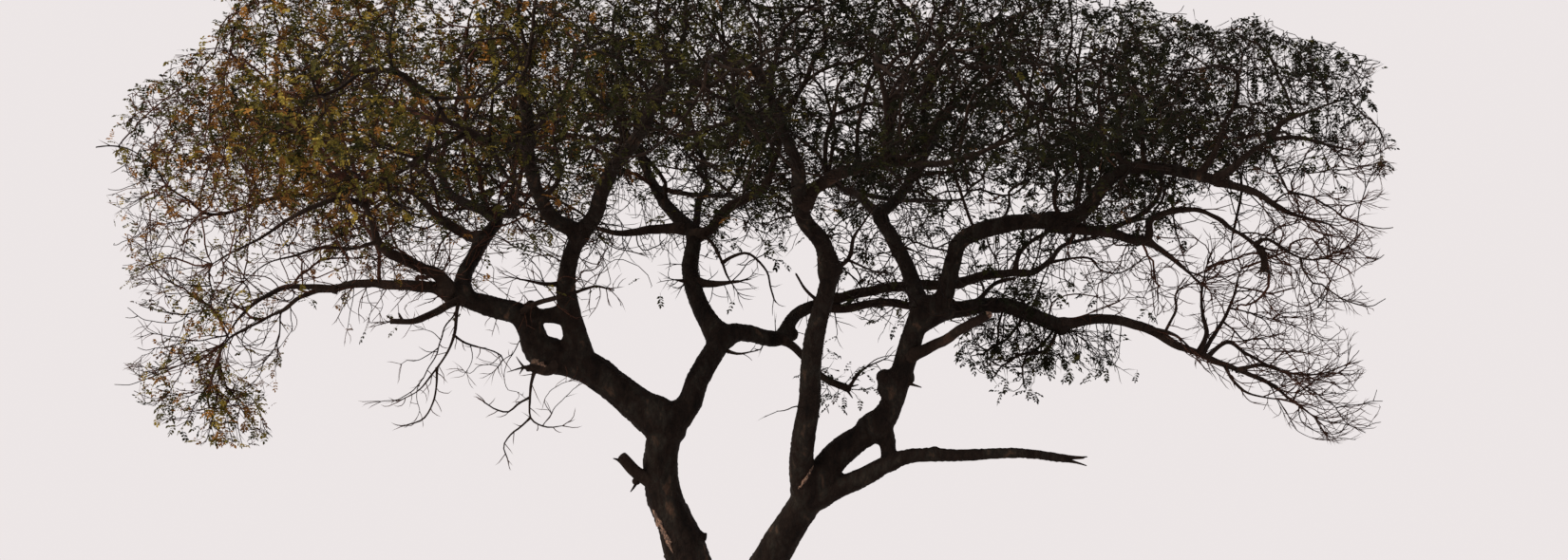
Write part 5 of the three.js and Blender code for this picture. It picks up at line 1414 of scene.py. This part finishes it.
for name, parent, r0, r1, uv in TRACED:
    total, fine = axes[name]["length"], 0.0042 + 0.0003 * r0
    if name[0] == "r":
        dress(name, .10, 1.0, .19, min(.62, .22 + .28 * total), fine, 1, "right_low", rnd, fan=.70, out=.05, hook=.10, curl=.13, spacing=.16, spread=(20, 50), kink=.25)
    elif name[0] == "l":
        low = name in ("l26", "l27", "l28", "l29", "l30", "l31", "l32", "l24", "l25", "l9", "l13")
        dress(name, .10, 1.0, .12 if low else .21, min(.24 if low else .55, .20 + .26 * total), fine, 1, "left", rnd, fan=.62, out=.04, hook=.08 if not low else .02, curl=.14, spacing=.15,
              spread=(22, 55), kink=.25, leafy=.85 if low else .30, leaves=2, small=1.0 if low else .75)
    else:
        dress(name, .10, 1.0, .26, .26, fine, 0, "left" if name[0] == "h" else "front", rnd, fan=.35, out=.0, hook=.12, curl=.20, spacing=.15, kink=.35)
# the left side: the same, shorter, with leaves here and there
for name, a, b, gap, long, leafy in [
        ("left_long_limb", .35, 1.0, .26, .50, .22), ("left_long_limb_high", .2, 1.0, .26, .55, .25), ("left_back_run", .3, 1.0, .28, .60, .15),
        ("left_front_run", .3, 1.0, .28, .60, .15), ("left_front_run_b", .2, 1.0, .26, .55, .20), ("left_high_run", .3, 1.0, .26, .50, .12)]:
    dress(name, a, b, gap, long, 0.0080, 1, "left", rnd, fan=0.62, out=0.045, hook=0.08, curl=0.14, leafy=leafy, small=0.75, spread=(22, 55), kink=0.22)
# crooked hanging twigs under the limbs
for name, a, gap, long, group in [
        ("middle_cross_b", .3, .12, .34, "front"), ("right_front_twig", .3, .14, .38, "front"), ("right_front_twig_b", .2, .11, .30, "front"),
        ("right_loop_twig", .2, .12, .36, "right"), ("left_inner_twig", .2, .13, .34, "left"),
        ("left_inner_cross", .1, .15, .40, "left"), ("middle_level", .05, .12, .52, "front"), ("middle_cross", .3, .1, .3, "front"),
        ("right_level_twig", .1, .14, .45, "right"), ("right_high_loop", .1, .14, .4, "right"), ("left_stub", .3, .35, .30, "left")]:
    dress(name, a, 1.0, gap, long, 0.0070, 1, group, rnd, fan=0.35, down=0.45, lift=-0.012, out=0.0, hook=0.09, curl=0.16, spacing=0.13, leafy=0.025, leaves=1)
for name, gap, long, group in [
        ("middle_hang", .17, .26, "front"), ("middle_hang_b", .15, .22, "front"), ("left_knee_twigs", .22, .26, "left"), ("left_knee_twigs_b", .16, .20, "left"),
        ("left_knee_twigs_c", .16, .22, "left"), ("left_scar_hang", .20, .24, "left"), ("left_scar_hang_b", .16, .18, "left"), ("left_scar_hang_c", .16, .18, "left"),
        ("middle_stub_twig", .16, .26, "front"), ("middle_low_twig", .16, .20, "front")]:
    dress(name, .08, 1.0, gap, long, 0.0062, 0, group, rnd, fan=0.30, down=0.15, out=0.0, hook=0.10, curl=0.20, kink=0.35)
# strands that hang under the low right bough, dark with the painted shade of the inner twig bark
for name, a, b, gap in [("right_low_bough", .35, 1.0, .040), ("right_low_outer", .0, .24, .06)]:
    dress(name, a, b, gap, .74, 0.0075, 1, "right", rnd, fan=0.20, down=1.6, lift=-0.09, out=0.0, hook=0.05, curl=0.14, spacing=0.13, spread=(18, 50), kink=0.3, leafy=0.45, leaves=1, small=0.9)
dress("middle_stub_low", .35, 1.0, .06, .26, 0.0055, 1, "front", rnd, fan=0.3, out=0.0, hook=0.08, curl=0.16, spacing=0.10, leafy=0.9, leaves=1, small=0.9)
for name, a, b, gap, long, group in [
        ("left_long_limb", .05, .45, .13, .48, "left"), ("left_bough_knee", .55, 1.0, .16, .50, "left"), ("left_back_bough", .02, .45, .15, .55, "left"),
        ("left_front_bough", .1, .9, .14, .55, "left"), ("left_back_limb", .0, 1.0, .13, .58, "left"), ("left_inner_bough", .28, .75, .17, .50, "left"),
        ("left_inner_fork_right", .1, .8, .17, .52, "front"), ("middle_rise", .30, .80, .16, .52, "front"), ("middle_rise_right", .1, .9, .15, .50, "front"),
        ("middle_arm", .35, .9, .20, .40, "front"), ("middle_arm_outer", .0, .8, .14, .52, "right"), ("middle_arm_lower", .1, .95, .14, .50, "right"),
        ("right_front_neck", .1, .7, .16, .50, "front"), ("right_front_right_limb", .0, .9, .14, .52, "front"), ("right_back_bough", .25, .8, .15, .52, "right"),
        ("right_main_bough", .3, 1.0, .14, .52, "right"), ("right_main_high", .0, .9, .13, .58, "right"), ("right_main_low", .0, .55, .13, .52, "right"),
        ("right_low_bough", .2, 1.0, .15, .42, "right"), ("right_back_left_limb", .0, .9, .14, .52, "right"), ("middle_snake", .1, .9, .15, .44, "front"),
        ("left_back_run", .0, .3, .14, .5, "left"), ("front_left_reach", .0, .6, .2, .5, "front"), ("front_reach", .0, .6, .2, .5, "front"),
        ("front_right_reach", .0, .6, .2, .5, "front"), ("back_left_reach", .0, .6, .2, .5, "back"), ("back_reach", .0, .6, .2, .5, "back"),
        ("back_right_reach", .0, .6, .2, .5, "back")]:
    dress(name, a, b, gap, long, 0.0080, 1, group, rnd, fan=0.30, down=0.12, lift=-0.006, out=0.01, hook=0.06, curl=0.14, spacing=0.15, leafy=0.10, leaves=1)
# leafy twigs that cover the limbs the photo shows green
for name, a, b, gap, long, group in [
        ("middle_rise_right", .06, .85, .060, .34, "front"), ("right_front_right_limb", .25, 1.0, .10, .38, "front"), ("front_right_reach", .0, .75, .11, .42, "front"),
        ("front_reach", .1, .8, .17, .42, "front"), ("front_left_reach", .1, .8, .20, .42, "front")]:
    dress(name, a, b, gap, long, 0.0060, 1, group, rnd, fan=0.35, out=0.0, hook=0.05, curl=0.15, spacing=0.11, leafy=0.75, leaves=2, small=0.9)
print("with sprigs", {k: s.triangles() for k, s in twigs.items()}, sum(s.triangles() for s in twigs.values()))

# ------------------------------------------------------------------ leaves
rnd = np.random.default_rng(SEED + 3)


def leafiness(p):
    """The share of twig ends that carry leaves: full on the upper crown, thin below, nearly none
    on the right where the tree is bare."""
    u, v = shows(p)
    x, y, z = p[:, 0], p[:, 1], p[:, 2]
    # the front-view row under which the crown is mostly bare twigs
    under = np.interp(u, [120, 200, 300, 400, 520, 640, 760, 860, 1000, 1120, 1230, 1300, 1380, 1470],
                      [300, 285, 250, 225, 205, 190, 205, 205, 215, 232, 225, 190, 165, 150])
    f = 1 / (1 + np.exp((v - under) / 18.0))
    f = 0.05 + 0.95 * f
    # the near side is thin enough to show the limbs behind it
    near = np.interp(x, [-3.2, -1.4, 2.2, 3.6], [0.82, 0.50, 0.50, 0.66])
    f = f * (near + (0.98 - near) * np.clip((y + 4.5) / 5.0, 0, 1))
    f = f * np.interp(x, [-3.0, -1.5], [1.25, 1.0])
    f = np.where((u > 880) & (u < 1130) & (v > under), np.maximum(f, 0.13), f)
    f = f * np.where(z > 7.3, np.interp(x, [-7.6, -6.4, -4.5], [0.48, 0.70, 1.0]), np.interp(x, [-7.6, -6.4, -4.5], [0.40, 0.70, 1.0]))
    low_left = (x < -4.2) & (z < 6.9)
    f = np.where(low_left, np.interp(z, [4.2, 5.2, 5.8, 6.9], [0.95, 0.80, 0.20, 0.32]), f)
    f = np.where(((u - 222) / 20) ** 2 + ((v - 300) / 30) ** 2 < 1, np.maximum(f, 0.8), f)
    f = np.where((x > 5.0) & (z < 7.0), 0.012, f)
    f = np.where((x > 2.8) & (x < 4.3) & (z < 6.0), 0.85, f)
    f = np.where(x > 5.0, f * np.interp(x, [5.0, 7.6], [1.0, 0.72]) * np.interp(z, [8.2, 9.0], [1.0, 1.2]), f)
    patch = rough(p * 1.25, 341, 2)
    f = f * np.clip(np.interp(x, [-2, 2], [1.05, 0.96]) + np.interp(x, [-2, 2], [1.15, 1.55]) * patch, 0.12, 1.3)
    return f * share_kept(p) ** 0.6


# thick limbs as the front view shows them: middle line, half width and depth
seen = []
for name in ("left_inner_bough", "left_inner_fork_right", "left_back_limb", "left_front_bough", "left_back_bough", "middle_rise", "middle_arm",
             "middle_arm_outer", "right_front_neck", "right_back_bough", "right_back_left_limb", "right_main_bough", "right_main_high"):
    q = smooth_line(axes[name]["points"], 0.06)
    a, b = shows(q)
    seen.append(np.stack([a, b, girth(name, np.linspace(0, 1, len(q))) * FOCAL / 32.0, q[:, 1]], 1))
seen = np.vstack(seen)


def before_limbs(p):
    """Whether points show in front of a thick limb."""
    u, v = shows(p)
    hit = np.zeros(len(p), bool)
    for a in range(0, len(p), 2000):
        d = np.hypot(u[a:a + 2000, None] - seen[None, :, 0], v[a:a + 2000, None] - seen[None, :, 1])
        hit[a:a + 2000] = ((d < seen[None, :, 2] + 6.0) & (p[a:a + 2000, 1, None] < seen[None, :, 3] - 0.15)).any(1)
    return hit


tip_pos = np.array([pos[t[0][-1]] for t in tips])
lf = leafiness(tip_pos) * np.where(before_limbs(tip_pos), np.interp(tip_pos[:, 0], [-4.5, -1.5], [0.40, 0.16]), 1.0)
pick = rnd.random(len(tips))
for k, (chain, end_dir, p, r, group) in enumerate(tips):
    if pick[k] > lf[k]:
        continue
    size = 0.85 if group == "left" and pos[chain[-1], 2] < 6.9 else 1.0
    sprays.append((pos[chain[-1]] + end_dir * 0.06, end_dir, 2 + int(rnd.random() * 2.7), size))
    if len(chain) > 3 and rnd.random() < 0.35:
        j = chain[-2 - int(rnd.random() * 2)]
        sprays.append((pos[j], end_dir, 1, size))
spray_at = np.array([s[0] for s in sprays])
spray_dir = np.array([s[1] for s in sprays])
spray_n = np.array([s[2] for s in sprays])
spray_size = np.array([s[3] for s in sprays])
print("sprays", len(spray_at), "compound leaves", spray_n.sum())

# autumn tint and painted light of each spray, in patches, more on the left: it deals out the browns, which are autumn
# tint, and the paler greens, which are painted light shining through the leaves from the left, leaving the darker
# greens of the middle and right as painted shade
autumn_tint_and_backlight = np.interp(spray_at[:, 0] + 1.7 * rough(spray_at * 0.45, 305, 2), [-7.5, -5.0, -2.8, -1.0, 1.5, 7.5], [0.60, 0.66, 0.56, 0.34, 0.15, 0.12]) + 0.26 * rough(spray_at * 1.1, 301, 2)
brown = rnd.random(len(spray_at)) < np.clip((autumn_tint_and_backlight - 0.26) * 0.85, 0.02, 0.36) * np.clip((spray_at[:, 1] + 6.2) / 3.2, 0.25, 1)
spray_size = spray_size * np.interp(spray_at[:, 1], [-6, -3], [0.84, 1.0])
# pale: how lit each spray is painted, high on the left where light shines through the leaves, low in the shaded middle
# and right
pale = autumn_tint_and_backlight * 0.82 + 0.24 * rough(spray_at * 4.0, 311, 2) + rnd.normal(0, 1, len(spray_at)) * np.interp(spray_at[:, 0], [-3.0, -1.0], [0.15, 0.09])

# every compound leaf: a rachis with pairs of leaflets and one at the end
at = np.repeat(spray_at, spray_n, axis=0)
sd = np.repeat(spray_dir, spray_n, axis=0)
M = len(at)
pl = np.clip(np.repeat(pale, spray_n) + rnd.normal(0, 0.07, M), 0, 0.999)
# greens from dark to pale and browns from dark to light by that painted light
tn = np.where(np.repeat(brown, spray_n), 5 + (pl * 3).astype(int), (pl * 5).astype(int))
spin = rnd.random(M) * 2 * math.pi
side = np.cross(sd, np.where(np.abs(sd[:, 2:3]) < 0.9, np.array([[0, 0, 1.0]]), np.array([[1.0, 0, 0]])))
side /= np.linalg.norm(side, axis=1)[:, None]
up2 = np.cross(side, sd)
outw = side * np.cos(spin)[:, None] + up2 * np.sin(spin)[:, None]
d = sd * rnd.uniform(0.20, 0.9, (M, 1)) + outw * rnd.uniform(0.6, 1.0, (M, 1)) + np.array([0, 0, -0.18])
d /= np.linalg.norm(d, axis=1)[:, None]
scale = np.repeat(spray_size, spray_n)
length = rnd.uniform(0.12, 0.20, M) * scale
droop = rnd.uniform(0.05, 0.60, M)
pairs = np.where((rnd.random(M) < 0.55) | (scale < 0.8), 3, 4)
nrm = np.cross(d, np.cross(np.array([0, 0, 1.0]), d))
nrm /= np.linalg.norm(nrm, axis=1)[:, None] + 1e-9
wide = np.cross(d, nrm)
LEAF_LEN, LEAF_WIDE = 0.050, 0.0265

leaf = {k: Soup() for k in GROUPS}
home = np.array([order[b][0] for b in mass_of(at)])


def on_rachis(f):
    """Points at share f along each rachis."""
    return at + d * (length * f)[:, None]


base, axis, size, which = [], [], [], []
for k in range(4):
    has = np.nonzero(pairs > k)[0]
    f = np.where(pairs == 4, (0.28, 0.50, 0.71, 0.90)[k], (0.32, 0.60, 0.86, 1.0)[k])
    for sgn in (-1, 1):
        base.append(on_rachis(f)[has])
        axis.append((d * rnd.uniform(0.25, 0.80, (M, 1)) + wide * sgn + np.array([0, 0, -1.0]) * (droop * rnd.uniform(0.2, 1.3, M))[:, None])[has])
        size.append(rnd.uniform(0.78, 1.12, M)[has])
        which.append(has)
base.append(on_rachis(np.full(M, 0.97)))
axis.append(d + np.array([0, 0, -1.0]) * droop[:, None])
size.append(rnd.uniform(0.95, 1.2, M))
which.append(np.arange(M))
base, axis, size, which = np.vstack(base), np.vstack(axis), np.concatenate(size), np.concatenate(which)
axis /= np.linalg.norm(axis, axis=1)[:, None]
tilt = nrm[which] + rnd.normal(0, 0.55, axis.shape)
across = np.cross(axis, tilt)
across /= np.linalg.norm(across, axis=1)[:, None]
face = np.cross(across, axis)
across *= np.where(rnd.random((len(axis), 1)) < 0.5, 1.0, -1.0)
size = size * scale[which]
L = (LEAF_LEN * size)[:, None]
W = (LEAF_WIDE * size * 0.5)[:, None]
fold = 0.30 * W
bend = rnd.uniform(-0.02, 0.12, (len(axis), 1)) * L
pts = np.stack([
    base,
    base + axis * L * 0.33 + across * W * 1.00 + face * fold,
    base + axis * L * 0.70 + across * W * 0.80 + face * (fold - bend * 0.5),
    base + axis * L - face * bend,
    base + axis * L * 0.48 - across * W * 1.06 + face * fold,
], 1)
inside = ((pts > LOW) & (pts < HIGH)).all((1, 2)) & (pts[:, :, 2] > 0.3).all(1) & within(base)
tip_r = on_rachis(np.full(M, 0.97))
held = ((tip_r > LOW) & (tip_r < HIGH)).all(1) & within(tip_r)
inside &= held[which]
for gname in GROUPS:
    sel = inside & (home[which] == gname)
    q = pts[sel]
    n = len(q)
    if not n:
        continue
    i0 = np.arange(n)[:, None] * 5
    tris = np.concatenate([i0 + np.array([[0, 1, 2]]), i0 + np.array([[0, 2, 3]]), i0 + np.array([[0, 3, 4]])])
    leaf[gname].add(q.reshape(-1, 3), tris, None, np.tile(tn[which[sel]], 3))
    s = (home == gname) & held
    ww = wide[s] * 0.0022
    n = int(s.sum())
    q = np.stack([at[s] - ww, at[s] + ww, tip_r[s] + ww * 0.4, tip_r[s] - ww * 0.4], 1)
    leaf[gname].add(q.reshape(-1, 3), None, np.arange(n)[:, None] * 4 + np.array([[0, 1, 2, 3]]), tn[s])
print("leaf triangles", {k: s.triangles() for k, s in leaf.items()}, sum(s.triangles() for s in leaf.values()))

for gname, names in GROUPS.items():
    # twigs of the open skirts get the twig bark; all others, inside the crown, its darker copy with painted shade
    t = twigs[gname].make(f"twigs_{gname}", [TWIG_BARK if gname in ("right_low", "left") else SHADED_INNER_TWIG_BARK])
    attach(t, "root")
    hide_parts(*names)
    if leaf[gname].n:
        l = leaf[gname].make(f"leaves_{gname}", LEAVES, smooth=False)
        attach(l, "root")
        if gname != "right_low":
            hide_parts(*names)
print("bark triangles", sum(len(p.vertices) - 2 for p in trunk_piece.data.polygons), sum(len(p.vertices) - 2 for p in slim_piece.data.polygons))

# ------------------------------------------------------------------ floor, light, camera
me = bpy.data.meshes.new("floor")
me.from_pydata([(-60, -60, 0), (60, -60, 0), (60, 60, 0), (-60, 60, 0)], [], [(0, 1, 2, 3)])
floor = bpy.data.objects.new("floor", me)
bpy.context.scene.collection.objects.link(floor)
fm, nt, p = new_material("floor_plain")
p.inputs["Base Color"].default_value = (0.62, 0.58, 0.57, 1)
p.inputs["Roughness"].default_value = 0.9
me.materials.append(fm)
floor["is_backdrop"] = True

world = bpy.data.worlds.new("pale")
bpy.context.scene.world = world
world.use_nodes = True
bg = world.node_tree.nodes["Background"]
bg.inputs[0].default_value = (0.86, 0.81, 0.81, 1)
bg.inputs[1].default_value = 0.98


def sun(name, azimuth, elevation, strength, angle, colour):
    data = bpy.data.lights.new(name, 'SUN')
    data.energy, data.angle, data.color = strength, math.radians(angle), colour
    ob = bpy.data.objects.new(name, data)
    bpy.context.scene.collection.objects.link(ob)
    a, e = math.radians(azimuth), math.radians(elevation)
    towards = Vector((math.sin(a) * math.cos(e), -math.cos(a) * math.cos(e), math.sin(e)))
    ob.rotation_euler = towards.to_track_quat('Z', 'Y').to_euler()
    return ob


sun("key", -72, 22, 3.4, 16, (1.0, 0.89, 0.76))

cam_data = bpy.data.cameras.new("camera")
cam_data.sensor_width = 36.0
cam_data.lens = 36.0 * FOCAL / PICTURE[0]
cam_data.clip_end = 400
cam = bpy.data.objects.new("camera", cam_data)
bpy.context.scene.collection.objects.link(cam)
cam.location = EYE
cam.rotation_euler = (math.radians(90) + PITCH, 0, 0)
bpy.context.scene.camera = cam
bpy.context.scene.view_settings.view_transform = 'Standard'

lo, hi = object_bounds()
